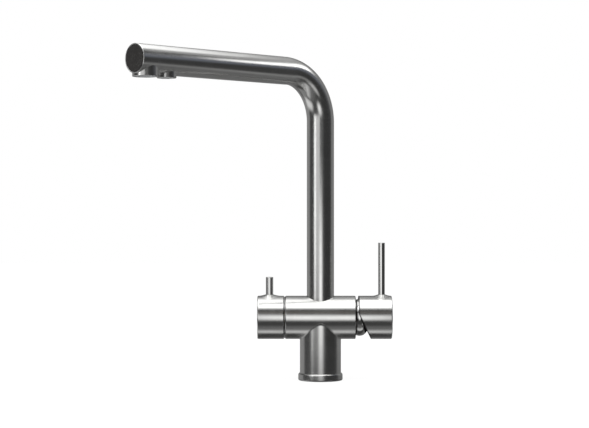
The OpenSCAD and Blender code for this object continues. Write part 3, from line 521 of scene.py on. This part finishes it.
def skin_piece(
    name, grid, along, around, material, body, replaced=(), closed_rows=True, keep=None
):
    """A piece from a grid of points in mm (rows, columns, 3) whose columns close on themselves: a
    face joins each pair of neighbouring rows and columns. along and around are the skin's own map."""
    rows, columns = grid.shape[:2]
    i = np.arange(rows if closed_rows else rows - 1)[:, None]
    j = np.arange(columns)[None]
    below, beside = (i + 1) % rows, (j + 1) % columns
    faces = np.stack(
        [i * columns + j, i * columns + beside, below * columns + beside, below * columns + j], -1
    )
    here, further = np.broadcast_arrays(along[:-1, None], along[1:, None], i + j)[:2]
    left, right = np.broadcast_arrays(around[None, :-1], around[None, 1:], i + j)[:2]
    map_along = np.stack([here, here, further, further], -1)
    map_around = np.stack([left, right, right, left], -1)
    uv = np.stack([map_along, map_around], -1)
    if keep is not None:
        faces, uv = faces[keep], uv[keep]
    mesh = bpy.data.meshes.new(name)
    mesh.from_pydata((grid.reshape(-1, 3) * MM).tolist(), [], faces.reshape(-1, 4).tolist())
    mesh.uv_layers.new(name="skin").data.foreach_set("uv", (uv * MM).ravel())
    return finish_piece(name, mesh, material, body, replaced)


seam_gap = 1e-7
face_weight = 60


def finish_piece(name, mesh, material, body, replaced):
    """Merges the seam and the poles, turns the faces outwards, and hangs the piece on its body."""
    work = bmesh.new()
    work.from_mesh(mesh)
    bmesh.ops.remove_doubles(work, verts=work.verts, dist=seam_gap)
    bmesh.ops.recalc_face_normals(work, faces=work.faces)
    work.to_mesh(mesh)
    work.free()
    mesh.shade_smooth()
    mesh.materials.append(material)
    made = bpy.data.objects.new(name, mesh)
    collection.objects.link(made)
    normals = made.modifiers.new("even_normals", "WEIGHTED_NORMAL")
    normals.keep_sharp = True
    normals.weight = face_weight
    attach(made, body)
    if replaced:
        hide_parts(*replaced)
    return made


nearly_upright = 0.9


def axes_for(direction):
    """The axis of turning and two unit vectors across it, which make a right-handed set."""
    axis = np.array(direction, float)
    axis /= np.linalg.norm(axis)
    first = np.array([0, 0, 1.0]) if abs(axis[2]) < nearly_upright else np.array([1.0, 0, 0])
    first -= axis * (first @ axis)
    first /= np.linalg.norm(first)
    return axis, first, np.cross(axis, first)


def arc_length(profile, closed):
    """Distance along a profile at each of its points, and back to its start where it is closed."""
    ends = np.concatenate([profile, profile[:1]]) if closed else profile
    steps = np.linalg.norm(np.diff(ends, axis=0), axis=1)
    return np.concatenate([[0], np.cumsum(steps)])


def turned_grid(profile, origin, direction, angles):
    """The profile (along, out) turned round an axis: origin + along * axis + out * (first * cos +
    second * sin) at each angle."""
    axis, first, second = axes_for(direction)
    ring = first * np.cos(angles)[:, None] + second * np.sin(angles)[:, None]
    return np.array(origin) + profile[:, :1, None] * axis + profile[:, 1:, None] * ring


def turned(
    name, corners, origin, direction, material, body, replaced=(), closed=True, sides=160, steps=6
):
    """A lathe-turned piece from the corners of its profile."""
    profile = rounded(corners, steps, closed)
    angles = np.linspace(0, 2 * np.pi, sides, endpoint=False)
    grid = turned_grid(profile, origin, direction, angles)
    around = np.linspace(0, 2 * np.pi, sides + 1) * profile[:, 1].max()
    along = arc_length(profile, closed)
    skin_piece(name, grid, along, around, material, body, replaced, closed)


steel_light = (0.7, 0.7, 0.69)
steel_dark = (0.6, 0.6, 0.59)


def brushed_steel(name):
    """The tap's own steel, with a name for each piece that adds to it."""
    return brushed_metal(name, steel_light, steel_dark, smooth=0.16, rough=0.27, stretch=0.45)


steel = brushed_steel("brushed_steel")

barrel_z = 64.5
barrel_r = 22.2
barrel_end = 36.1
barrel_edge = 1.0
step_end = 37.2
step_r = 21.3
step_edge = 0.15
socket_r = 14.05
socket_floor = 79.0
socket_edge = 0.15
spigot_bore = 9.55
spigot_floor = 53.5
nut_bore = 18.53
nut_depth = 6.05
cartridge_bore = 17.5
cartridge_depth = 20.1
flange_bore = 12.93
flange_depth = 3.53
headwork_bore = 10.0
mouth_edge = 0.2
patch_half = 17.0
patch_steps = 48
rest_steps = 132
left_shade_width = 0.2
right_shade_from = 0.85
right_shade_to = 0.5
barrel_steel = brushed_steel("barrel_steel")
# Painted shade: the barrel's steel darkens towards both its ends, for the shadow in the groove by the knob
# and in the gap under the handle.
painted_shade_rim(barrel_steel, low=left_shade_width - barrel_end, high=-barrel_end, level=0.27)
painted_shade_rim(barrel_steel, low=barrel_end - right_shade_from, high=barrel_end - right_shade_to, level=0.2)

# The barrel's skin has a square window over the spout's socket, on lines that the patch round the
# socket shares: a point at (x, y) of the plan lies on the barrel at the root of r * r - y * y.
window = np.linspace(-patch_half, patch_half, patch_steps + 1)
skin_rows = np.stack([window, np.full_like(window, barrel_r)], -1)
left_end = rounded(
    [
        (cartridge_depth - barrel_end, 0, 0),
        (cartridge_depth - barrel_end, headwork_bore, 0),
        (flange_depth - barrel_end, headwork_bore, mouth_edge),
        (flange_depth - barrel_end, flange_bore, 0),
        (-step_end, flange_bore, mouth_edge),
        (-step_end, step_r, step_edge),
        (-barrel_end, step_r, step_edge),
        (-barrel_end, barrel_r, barrel_edge - step_edge),
        (-patch_half, barrel_r, 0),
    ],
    closed=False,
)
right_end = rounded(
    [
        (patch_half, barrel_r, 0),
        (barrel_end, barrel_r, barrel_edge),
        (barrel_end, nut_bore, mouth_edge),
        (barrel_end - nut_depth, nut_bore, 0),
        (barrel_end - nut_depth, cartridge_bore, mouth_edge),
        (barrel_end - cartridge_depth, cartridge_bore, 0),
        (barrel_end - cartridge_depth, 0, 0),
    ],
    closed=False,
)
profile = np.concatenate([left_end[:-1], skin_rows, right_end[1:]])
top_angles = np.arcsin(window / barrel_r)
rest = np.linspace(top_angles[-1], 2 * np.pi + top_angles[0], rest_steps)[1:-1]
angles = np.concatenate([top_angles, rest])
grid = turned_grid(profile, (0, 0, barrel_z), (1, 0, 0), angles)
first_row = len(left_end) - 1
keep = np.ones((len(profile) - 1, len(angles)), bool)
keep[first_row : first_row + patch_steps, :patch_steps] = False
around = np.concatenate([angles, [angles[0] + 2 * np.pi]]) * barrel_r
barrel = skin_piece(
    "barrel", grid, arc_length(profile, False), around, barrel_steel, "tap_body",
    ("valve_body", "column_skirt"), closed_rows=False, keep=keep,
)
ring_steps = 9
ring_crowding = 1.3
well_map = 60.0
weld_gap = 2e-6
skin_depth = 0.1
side = window[:-1]
square = np.concatenate(
    [
        np.stack([side * 0 + patch_half, side], -1),
        np.stack([-side, side * 0 + patch_half], -1),
        np.stack([side * 0 - patch_half, -side], -1),
        np.stack([side, side * 0 - patch_half], -1),
    ]
)
ways = square / np.linalg.norm(square, axis=1)[:, None]
blend_steps = np.linspace(1, 0, ring_steps)[:, None, None] ** ring_crowding
circle = ways * (socket_r + socket_edge)
plan = circle + (square - circle) * blend_steps
top = np.concatenate([plan, np.sqrt(barrel_r**2 - plan[..., 1:] ** 2) + barrel_z], -1)
lip_z = np.sqrt(barrel_r**2 - (ways[:, 1:] * socket_r) ** 2) + barrel_z - socket_edge
rings = [np.concatenate([ways * socket_r, lip_z], -1)]
for r, z in (
    (socket_r, socket_floor), (spigot_bore, socket_floor), (spigot_bore, spigot_floor), (0, spigot_floor)
):
    rings.append(np.concatenate([ways * r, np.full((len(ways), 1), z)], -1))
patch = np.concatenate([top, np.stack(rings)])
patch_piece = skin_piece(
    "barrel_socket", patch, np.linspace(0, well_map, len(patch)),
    np.linspace(0, 2 * np.pi * socket_r, len(ways) + 1),
    barrel_steel, "tap_body", closed_rows=False,
)
# The patch joins the barrel's mesh. On the barrel's round skin its map becomes the barrel's: along x,
# and round the axis by the angle whose sine is y / r, times r.
work = bmesh.new()
work.from_mesh(barrel.data)
work.from_mesh(patch_piece.data)
bmesh.ops.remove_doubles(work, verts=work.verts, dist=weld_gap)
bmesh.ops.recalc_face_normals(work, faces=work.faces)
work.to_mesh(barrel.data)
work.free()
bpy.data.objects.remove(patch_piece)


def read_all(items, field, width, kind=float):
    """One field of all items of a mesh as an array, with a column for each part of it."""
    values = np.empty(len(items) * width, kind)
    items.foreach_get(field, values)
    return values.reshape(-1, width)


mesh = barrel.data
x, y, z = (read_all(mesh.polygons, "center", 3) / MM).T
on_skin = (abs(x) < patch_half) & (z > barrel_z) & (np.hypot(y, z - barrel_z) > barrel_r - skin_depth)
on_skin = np.repeat(on_skin, read_all(mesh.polygons, "loop_total", 1, int)[:, 0])
points = read_all(mesh.vertices, "co", 3)[read_all(mesh.loops, "vertex_index", 1, int)[:, 0]]
skin_map = read_all(mesh.uv_layers["skin"].data, "uv", 2)
round_axis = np.arcsin(np.clip(points[:, 1] / (barrel_r * MM), -1, 1)) * barrel_r * MM
skin_map[on_skin] = np.stack([points[:, 0], round_axis], -1)[on_skin]
mesh.uv_layers["skin"].data.foreach_set("uv", skin_map.ravel())

# Column: a tube that ends in a saddle under the barrel, at the root of r * r - y * y below its axis,
# with a thin weld radius. Inside, its recess goes round the inlet block.
column_r = 21.15
column_foot_r = 19.2
recess_r = 17.5
recess_roof = 34.0
flange_top = 7.6
foot_lip = 3.0
weld = 0.55
core_z = 45.0
core_step = 2.0
core_rise = 1.5
tuck = 0.3
tuck_corner = 0.27
side_rings = 7
weld_rings = 6
sides = 200
angles = np.linspace(0, 2 * np.pi, sides, endpoint=False)


def saddle(radius):
    """Height of the barrel's underside above each point of a circle of this radius."""
    return barrel_z - np.sqrt(barrel_r**2 - (radius * np.sin(angles)) ** 2)


def level_ring(radius, z):
    """A ring of points at one radius, at one height or at a height for each angle."""
    return np.stack([radius * np.cos(angles), radius * np.sin(angles), np.ones(sides) * z], -1)


rings = [
    level_ring(0, recess_roof),
    level_ring(recess_r, recess_roof),
    level_ring(recess_r, foot_lip),
    level_ring(column_foot_r, foot_lip),
    level_ring(column_foot_r, flange_top - tuck),
    level_ring(column_r, flange_top - tuck),
    level_ring(column_r, flange_top - tuck_corner),
    level_ring(column_r, flange_top),
]
for share_up in np.linspace(0, 1, side_rings)[1:]:
    rings.append(level_ring(column_r, flange_top + (saddle(column_r) - weld - flange_top) * share_up))
for turn in np.linspace(0, np.pi / 2, weld_rings)[1:]:
    radius = column_r + weld * (1 - math.cos(turn))
    rings.append(level_ring(radius, saddle(radius) - weld * (1 - math.sin(turn)) * math.cos(turn)))
rings.append(level_ring(column_r - core_step, saddle(column_r - core_step) + core_rise))
rings.append(level_ring(0, core_z))
grid = np.stack(rings)
heights = grid[:, sides // 4, :]
along = np.concatenate([[0], np.cumsum(np.linalg.norm(np.diff(heights, axis=0), axis=1))])
around = np.linspace(0, 2 * np.pi, sides + 1) * column_r
skin_piece("column", grid, along, around, steel, "tap_body", closed_rows=False)

# Base flange: a separate steel ring with a soft shoulder, turned on a lathe and pressed round the
# column's foot. A groove under it holds the gasket, and its foot has painted shade, darker towards the
# bottom edge, for the contact shadow.
flange_r = 22.85
shoulder = 2.0
foot_edge = 1.3
gasket_in = 19.15
gasket_out = 21.2
gasket_groove = 1.53
column_fit = 0.03
fine_edge = 0.1
small_edge = 0.2
flange_steel = brushed_steel("flange_steel")
# Painted shade: the flange darkens towards its bottom edge, for the contact shadow.
painted_shade_rim(flange_steel, low=2.0, high=0.4, level=0.3, way="Z")
turned(
    "base_flange_ring",
    [
        (0, recess_r, small_edge),
        (0, gasket_in, fine_edge),
        (gasket_groove, gasket_in, 0),
        (gasket_groove, gasket_out, 0),
        (0, gasket_out, fine_edge),
        (0, flange_r, foot_edge),
        (flange_top, flange_r, shoulder),
        (flange_top, column_foot_r + column_fit, fine_edge),
        (foot_lip, column_foot_r + column_fit, 0),
        (foot_lip, recess_r, 0),
    ],
    (0, 0, 0), (0, 0, 1), flange_steel, "tap_body", ("base_flange",),
    steps=10, sides=sides,
)

# Spout: one round tube, bent to a right angle round a former, which leaves it a little flat at the
# bend, then brushed round. Its foot turns in the barrel's socket.
tube_r = 14.0
tube_wall = 1.1
tube_foot = 80.05
straight_top = 265.4
arm_z = 315.4
bend_r = 50.0
reach = 245.3
spout_turn = 44.5
arm_turn = math.radians(180 + spout_turn)
arm = np.array([math.cos(arm_turn), math.sin(arm_turn), 0])
across = np.array([-math.sin(arm_turn), math.cos(arm_turn), 0])
up = np.array([0, 0, 1.0])
flat_share = 0.055
flat_power = 0.8
flat_start = 0.75
flat_gain = 0.5
spread_share = 0.35
rim = 0.53
foot_step = 0.3
foot_cut = 0.29
bend_steps = 72
straight_steps = 40
rim_steps = 5
rise = straight_top - tube_foot
bend_l = bend_r * math.pi / 2
arm_l = reach - bend_r
total = rise + bend_l + arm_l


def spout_frame(s):
    """Centre, outward side and flattening of the tube at each distance along its route: straight up,
    a quarter turn, then level. Outward is the outside of the bend, and the flattening follows a sine
    over the bend that leans towards the arm."""
    turn = np.clip((s - rise) / bend_r, 0, np.pi / 2)
    lead = np.clip(s, 0, rise)
    run = np.clip(s - rise - bend_l, 0, None)
    outward = up * np.sin(turn)[:, None] - arm * np.cos(turn)[:, None]
    centre = up * (tube_foot + lead)[:, None] + arm * bend_r * (s >= 0)[:, None]
    centre = centre + outward * bend_r + arm * run[:, None]
    inside_bend = (s > rise) & (run == 0)
    lean = flat_start + flat_gain * turn / (np.pi / 2)
    flat = flat_share * np.sin(turn * 2) ** flat_power * lean
    return centre, outward, np.where(inside_bend, flat, 0)


outer_s = np.concatenate(
    [
        [0, rim * foot_step, rim],
        np.linspace(rim, rise, straight_steps)[1:],
        rise + np.linspace(0, bend_l, bend_steps + 1)[1:],
        rise + bend_l + np.linspace(0, arm_l - rim, straight_steps)[1:],
    ]
)
outer_r = np.full(len(outer_s), tube_r)
outer_r[0] -= rim
outer_r[1] -= rim * foot_cut
end_turn = np.linspace(0, np.pi / 2, rim_steps)
end_s = total - rim + rim * np.sin(end_turn)
end_r = tube_r - rim + rim * np.cos(end_turn)
bore_r = tube_r - tube_wall
in_turn = end_turn[::-1]
in_s = total - rim + rim * np.sin(in_turn)
in_r = bore_r + rim - rim * np.cos(in_turn)
back_s = outer_s[::-1][1:]
back_r = np.full(len(back_s), bore_r)
s_all = np.concatenate([outer_s, end_s[1:], in_s, back_s])
r_all = np.concatenate([outer_r, end_r[1:], in_r, back_r])
centre, outward, flat = spout_frame(s_all)
sides = 144
angles = np.linspace(0, 2 * np.pi, sides, endpoint=False)
outward_r = r_all * (1 - flat)
across_r = r_all * (1 + flat * spread_share)
grid = (
    centre[:, None]
    + outward[:, None] * (outward_r[:, None] * np.cos(angles))[..., None]
    + across * (across_r[:, None] * np.sin(angles))[..., None]
)
along = np.concatenate([[0], np.cumsum(np.abs(np.diff(s_all))), [2 * total]])
around = np.linspace(0, 2 * np.pi, sides + 1) * tube_r
skin_piece("spout_pipe", grid, along, around, steel, "spout", ("spout_tube",))

# End disc: a thin stainless cap, seated flush in the tube's mouth and welded there. Its face is
# brushed finer than the tube. Its steel has a darker, warmer tone than the tube's as painted shade for the
# dark reflection of its flat face, and a ring of painted shade at its rim.
cap_t = 0.8
cap_r = 12.87
cap_edge = 0.25
cap_shade_width = 0.7
cap_back = arm * (reach - cap_t) + up * arm_z
cap_rim = cap_r + cap_t
# Painted shade: the same steel as the tube, given a darker tone to stand in for the dark reflection of the
# flat face.
end_steel = brushed_metal(
    "end_steel", light=(0.45, 0.435, 0.425), dark=(0.38, 0.365, 0.355), smooth=0.2, rough=0.3, lines=5000.0
)
# Painted shade: a dark ring at the disc's rim, for the shading at its lip.
painted_shade_rim(end_steel, low=cap_rim + cap_shade_width, high=cap_rim, level=0.15, on_skin=True)
turned(
    "end_disc", [(0, 0, 0), (0, cap_r, fine_edge), (cap_t, cap_r, cap_edge), (cap_t, 0, 0)],
    cap_back, arm, end_steel, "spout", ("spout_end_cap",), closed=False, sides=144,
)

# Outlets: two short turned collars stand out of the tube's underside. Each holds an aerator: a
# moulded insert with a fine grid, held up against a rubber washer.
outlet_z = 298.9
main_reach = 232.12
filter_reach = 206.42
main_collar_top = 309.41
filter_collar_top = 307.9
main_outlet_r = 12.35
main_bore = 10.6
filter_outlet_r = 9.25
filter_bore = 7.5
rim_round = 0.5
ledge_in = 1.6
ledge_h = 1.7
collar_h = main_collar_top - outlet_z
ledge_r = main_bore - ledge_in
turned(
    "main_collar",
    [
        (0, main_bore, rim_round),
        (0, main_outlet_r, rim_round),
        (collar_h, main_outlet_r, small_edge),
        (collar_h, ledge_r, small_edge),
        (collar_h - ledge_h, ledge_r, small_edge),
        (collar_h - ledge_h, main_bore, 0),
    ],
    arm * main_reach + up * outlet_z, up, steel, "spout", ("main_outlet_collar",),
)
collar_h = filter_collar_top - outlet_z
plate_h = 1.5
way_r = 2.0
nipple_r = 2.97
nipple_h = 2.0
turned(
    "filter_collar",
    [
        (0, filter_bore, rim_round),
        (0, filter_outlet_r, rim_round),
        (collar_h, filter_outlet_r, small_edge),
        (collar_h, nipple_r, 0),
        (collar_h + nipple_h, nipple_r, small_edge),
        (collar_h + nipple_h, way_r, small_edge),
        (collar_h - plate_h, way_r, 0),
        (collar_h - plate_h, filter_bore, 0),
    ],
    arm * filter_reach + up * outlet_z, up, steel, "spout", ("filter_outlet_collar",),
)


# Filter knob: a turned steel cup on the headwork's spindle. Its skin rises in a soft flare to the
# foot of a short pin, and the brushing runs round it.
flare_h = 1.5
flare_power = 1.6
flare_band = 1.2
cup_sides = 280
cup_edge = 1.0
inside_edge = 0.3


def flared(grid, pin_x, pin_r, reach_out):
    """Lifts the top of a handle's skin round its pin: by the flare's height at the pin, times the
    share of the reach that is left, to the flare's power."""
    away = np.hypot(grid[..., 0] - pin_x, grid[..., 1]) - pin_r
    lift = flare_h * np.clip(1 - np.clip(away, 0, None) / reach_out, 0, 1) ** flare_power
    on_top = np.hypot(grid[..., 1], grid[..., 2] - barrel_z) > barrel_r - flare_band
    raised = grid.copy()
    raised[..., 2] += np.where((grid[..., 2] > barrel_z) & on_top, lift, 0)
    return raised


def cup(corners, rows, origin, direction):
    """A cup's profile with rows of points spread evenly along its outer skin, the grid that it makes
    round its axis, and the row where the skin starts."""
    profile = rounded(corners, steps=8, closed=False)
    skin_at = np.where((profile[:-1, 1] == barrel_r) & (profile[1:, 1] == barrel_r))[0][0]
    inner_rows = np.linspace(profile[skin_at], profile[skin_at + 1], rows)[1:-1]
    profile = np.concatenate([profile[: skin_at + 1], inner_rows, profile[skin_at + 1 :]])
    angles = np.linspace(0, 2 * np.pi, cup_sides, endpoint=False)
    return profile, turned_grid(profile, origin, direction, angles), skin_at


def rim_place(profile):
    """Distance along the profile of a cup to the rim of its open end, the first of its widest points."""
    return arc_length(profile, False)[np.argmax(profile[:, 1])]


knob_x = 37.4
knob_l = 27.4
knob_cavity_r = 19.0
knob_cavity_l = 10.1
knob_pin_x = 52.4
knob_pin_r = 3.8
knob_flare = 7.5
knob_shade_width = 0.6
spindle_r = 4.03
spindle_hole = 22.65
corners = [
    (spindle_hole, 0, 0),
    (spindle_hole, spindle_r, 0),
    (knob_cavity_l, spindle_r, fine_edge),
    (knob_cavity_l, knob_cavity_r, inside_edge),
    (0, knob_cavity_r, inside_edge),
    (0, barrel_r, cup_edge),
    (knob_l, barrel_r, cup_edge),
    (knob_l, 0, 0),
]
profile, grid = cup(corners, rows=56, origin=(-knob_x, 0, barrel_z), direction=(-1, 0, 0))[:2]
grid = flared(grid, -knob_pin_x, knob_pin_r, knob_flare)
around = np.linspace(0, 2 * np.pi, cup_sides + 1) * barrel_r
knob_steel = brushed_steel("knob_steel")
knob_rim = rim_place(profile)
# Painted shade: the knob's skin darkens at its open rim, for the shadow in the groove beside the barrel.
painted_shade_rim(knob_steel, low=knob_rim, high=knob_rim - knob_shade_width, level=0.2, on_skin=True)
skin_piece(
    "filter_knob_cup", grid, arc_length(profile, False), around, knob_steel, "filter_control",
    ("filter_knob",), closed_rows=False,
)

# Knob pin: a turned steel pin with a lightly crowned end, pressed into the knob. It is polished
# after turning, so its lines are crisper than those of the cups.
pin_steel = brushed_metal(
    "pin_steel", light=(0.72, 0.72, 0.71), dark=(0.64, 0.64, 0.63), smooth=0.06, rough=0.11,
    depth=8e-7, stretch=0.3,
)
knob_pin_foot = 8.03
knob_pin_top = 41.7
crown = 0.25
pin_foot_round = 0.5
crown_round = 0.55
turned(
    "filter_knob_pin_turned",
    [
        (knob_pin_foot, 0, 0),
        (knob_pin_foot, knob_pin_r, pin_foot_round),
        (knob_pin_top - crown, knob_pin_r, crown_round),
        (knob_pin_top, 0, 0),
    ],
    (-knob_pin_x, 0, barrel_z), up, pin_steel, "filter_control", ("filter_knob_pin",),
    closed=False, sides=72,
)

# Mixer handle: a turned steel cup like the knob, but its open end is cut at a slant below, which
# lets it tilt over the dome. A long thin pin lifts it.
handle_x = 39.0
handle_l = 34.3
cavity_r = 20.2
cavity_l = 16.0
stem_hole_r = 3.93
stem_hole = 26.55
lever_x = 62.9
lever_r = 3.45
lever_flare = 5.95
cut_top = 4.5
cut_slope = math.tan(math.radians(25.8))
rim_edge = 0.25
rim_band = 1.0
end_kept = 1.5
floor_kept = 0.5
handle_shade_from = 0.8
handle_shade_to = 0.2
corners = [
    (stem_hole, 0, 0),
    (stem_hole, stem_hole_r, 0),
    (cavity_l, stem_hole_r, fine_edge),
    (cavity_l, cavity_r, inside_edge),
    (0, cavity_r, rim_edge),
    (0, barrel_r, rim_edge * 2),
    (handle_l, barrel_r, cup_edge),
    (handle_l, 0, 0),
]
profile, grid, skin_at = cup(corners, rows=66, origin=(handle_x, 0, barrel_z), direction=(1, 0, 0))
# The cut: points below its top move along x by their depth times its slope, less and less towards
# the closed end of the skin and the cavity's floor, which stay.
drop = np.clip(cut_top - (grid[..., 2] - barrel_z), 0, None) * cut_slope
along_x = grid[..., 0] - handle_x
outer_skin = np.arange(len(profile))[:, None] > skin_at
fixed_end = np.where(outer_skin, handle_l - end_kept, cavity_l - floor_kept)
grid[..., 0] += drop * np.clip((fixed_end - along_x) / (fixed_end - rim_band), 0, 1)
grid = flared(grid, lever_x, lever_r, lever_flare)
handle_steel = brushed_steel("handle_steel")
handle_rim = rim_place(profile)
# Painted shade: the handle's skin darkens just past its slanted open rim, for the shadow of the gap over
# the dome.
painted_shade_rim(
    handle_steel, low=handle_rim + handle_shade_from, high=handle_rim + handle_shade_to, level=0.12,
    on_skin=True,
)
skin_piece(
    "mixer_handle_cup", grid, arc_length(profile, False), around, handle_steel, "mixer_lever",
    ("mixer_handle",), closed_rows=False,
)

# Lever pin: a long turned steel pin with a flat end and a fine chamfer, pressed into the handle and
# polished like the knob's.
lever_foot = 6.33
lever_top = 76.8
lever_foot_round = 0.3
lever_chamfer = 0.35
turned(
    "mixer_lever_pin_turned",
    [
        (lever_foot, 0, 0),
        (lever_foot, lever_r, lever_foot_round),
        (lever_top, lever_r, lever_chamfer),
        (lever_top, 0, 0),
    ],
    (lever_x, 0, barrel_z), up, pin_steel, "mixer_lever", ("mixer_lever_pin",),
    closed=False, sides=72,
)

# Dome ring: a thin pressed and polished steel cover over the cartridge, seen in the gap below the
# handle. Its profile is an arc of one radius.
polished = brushed_metal(
    "polished_steel", light=(0.62, 0.62, 0.61), dark=(0.56, 0.56, 0.55), smooth=0.04, rough=0.08,
    depth=4e-7, stretch=0.0,
)
dome_x = 40.1
dome_bulge = 8.5
dome_t = 1.2
dome_mid = 10.5
dome_foot = 36.15
dome_bore = 12.3
dome_sides = 200
dome_map_r = 19.0


def dome_arc(radius, steps, flip):
    """Points of the dome's arc from its foot on the barrel to its bore, or back: along and out."""
    first = math.asin((dome_foot - dome_x) / radius)
    last = math.acos((dome_bore - dome_mid) / radius)
    turn = np.linspace(first, last, steps)
    arc = np.stack([dome_x + radius * np.sin(turn), dome_mid + radius * np.cos(turn)], -1)
    return arc[::-1] if flip else arc


profile = np.concatenate(
    [dome_arc(dome_bulge, steps=28, flip=False), dome_arc(dome_bulge - dome_t, steps=24, flip=True)]
)
angles = np.linspace(0, 2 * np.pi, dome_sides, endpoint=False)
grid = turned_grid(profile, (0, 0, barrel_z), (1, 0, 0), angles)
around = np.linspace(0, 2 * np.pi, dome_sides + 1) * dome_map_r
skin_piece(
    "dome_cover", grid, arc_length(profile, True), around, polished, "tap_body",
    ("dome_ring",),
)


# Inner and small pieces: these keep their own solids, smoothed where they are round. Each takes
# the finish of what it is made of: machined brass, moulded rubber and plastic, lapped ceramic. The
# cartridge nut's brass is darkened instead, as painted shade for the narrow gap that it sits in.
smoothing = bpy.data.node_groups.new("smooth_rounds", "GeometryNodeTree")
smoothing.interface.new_socket("Geometry", in_out="INPUT", socket_type="NodeSocketGeometry")
smoothing.interface.new_socket("Geometry", in_out="OUTPUT", socket_type="NodeSocketGeometry")
smoothing.is_modifier = True
crease = math.radians(35)
merged = node_of(smoothing, "GeometryNodeMergeByDistance", Distance=weld_gap)
all_smooth = node_of(smoothing, "GeometryNodeSetShadeSmooth", domain="FACE")
sharp = node_of(smoothing, "GeometryNodeSetShadeSmooth", domain="EDGE")
sharp.inputs["Shade Smooth"].default_value = False
turn = smoothing.nodes.new("GeometryNodeInputMeshEdgeAngle")
above = node_of(smoothing, "FunctionNodeCompare", data_type="FLOAT", operation="GREATER_THAN")
above.inputs[1].default_value = crease
given = smoothing.nodes.new("NodeGroupInput")
made = smoothing.nodes.new("NodeGroupOutput")
smoothing.links.new(given.outputs[0], merged.inputs["Geometry"])
smoothing.links.new(merged.outputs[0], all_smooth.inputs["Geometry"])
smoothing.links.new(all_smooth.outputs[0], sharp.inputs["Geometry"])
smoothing.links.new(turn.outputs["Unsigned Angle"], above.inputs[0])
smoothing.links.new(above.outputs[0], sharp.inputs["Selection"])
smoothing.links.new(sharp.outputs[0], made.inputs[0])

# Mottle: two noises on the piece's own place give slow patches and fine grain, as the tools and the
# moulds of small parts leave them.
mottle, given, made = new_marks("mottle", "Place", "Grains per Metre")
slow_share = 0.05
grain = node_of(mottle, "ShaderNodeTexNoise", Detail=3.0)
slow_scale = node_of(mottle, "ShaderNodeMath", operation="MULTIPLY")
slow_scale.inputs[1].default_value = slow_share
slow = node_of(mottle, "ShaderNodeTexNoise", Detail=2.0)
mottle.links.new(given.outputs["Place"], grain.inputs["Vector"])
mottle.links.new(given.outputs["Grains per Metre"], grain.inputs["Scale"])
mottle.links.new(given.outputs["Grains per Metre"], slow_scale.inputs[0])
mottle.links.new(given.outputs["Place"], slow.inputs["Vector"])
mottle.links.new(slow_scale.outputs[0], slow.inputs["Scale"])
put_out(mottle, given, made, slow.outputs["Fac"], grain.outputs["Fac"], grain.outputs["Fac"])


def grained(name, light, dark, smooth, rough, metallic=0.0, grains=2500.0, depth=4e-6, coat=0.0):
    """A moulded, lapped or machined finish, on the piece's own place."""
    material, tree, shader, place = marked(name, mottle, grains, light, dark, smooth, rough, depth)
    tree.links.new(tree.nodes.new("ShaderNodeTexCoord").outputs["Object"], place)
    shader.inputs["Metallic"].default_value = metallic
    shader.inputs["Coat Weight"].default_value = coat
    return material


finishes = {
    "brushed_steel": grained(
        "plain_steel", (0.68, 0.68, 0.67), (0.6, 0.6, 0.59), smooth=0.16, rough=0.3, metallic=1.0
    ),
    "fastener_steel": grained(
        "fastener_steel", (0.46, 0.46, 0.46), (0.36, 0.36, 0.37), smooth=0.25, rough=0.4, metallic=1.0
    ),
    "brass": grained(
        "machined_brass", (0.75, 0.6, 0.34), (0.66, 0.5, 0.25), smooth=0.18, rough=0.34, metallic=1.0
    ),
    "rubber": grained(
        "moulded_rubber", (0.05, 0.05, 0.05), (0.03, 0.03, 0.03), smooth=0.55, rough=0.8, depth=1e-5
    ),
    "ceramic": grained(
        "lapped_ceramic", (0.92, 0.91, 0.87), (0.86, 0.85, 0.8), smooth=0.12, rough=0.22, coat=0.3
    ),
    "white_plastic": grained(
        "white_plastic", (0.86, 0.86, 0.84), (0.8, 0.8, 0.78), smooth=0.35, rough=0.5
    ),
    "grey_plastic": grained(
        "grey_plastic", (0.42, 0.43, 0.44), (0.34, 0.35, 0.36), smooth=0.35, rough=0.55
    ),
    # Painted shade: brass darkened for the shadow in the gap round the cartridge nut.
    "shaded_brass": grained(
        "shaded_brass", (0.2, 0.17, 0.12), (0.12, 0.1, 0.08), smooth=0.3, rough=0.5, metallic=1.0
    ),
}
replaced = {
    "valve_body", "column_skirt", "base_flange", "spout_tube", "spout_end_cap", "main_outlet_collar",
    "filter_outlet_collar", "filter_knob", "filter_knob_pin", "mixer_handle", "mixer_lever_pin",
    "dome_ring",
}
for row in frame["record"]["subparts"]:
    if row["node"] in replaced:
        continue
    kept = frame["nodes"][row["node"]]
    kept.data.materials.clear()
    # The cartridge nut takes the darkened brass, painted shade for its gap.
    finish = "shaded_brass" if row["node"] == "cartridge_nut" else row["material_slot"]
    kept.data.materials.append(finishes[finish])
    rounds = kept.modifiers.new("smooth_rounds", "NODES")
    rounds.node_group = smoothing
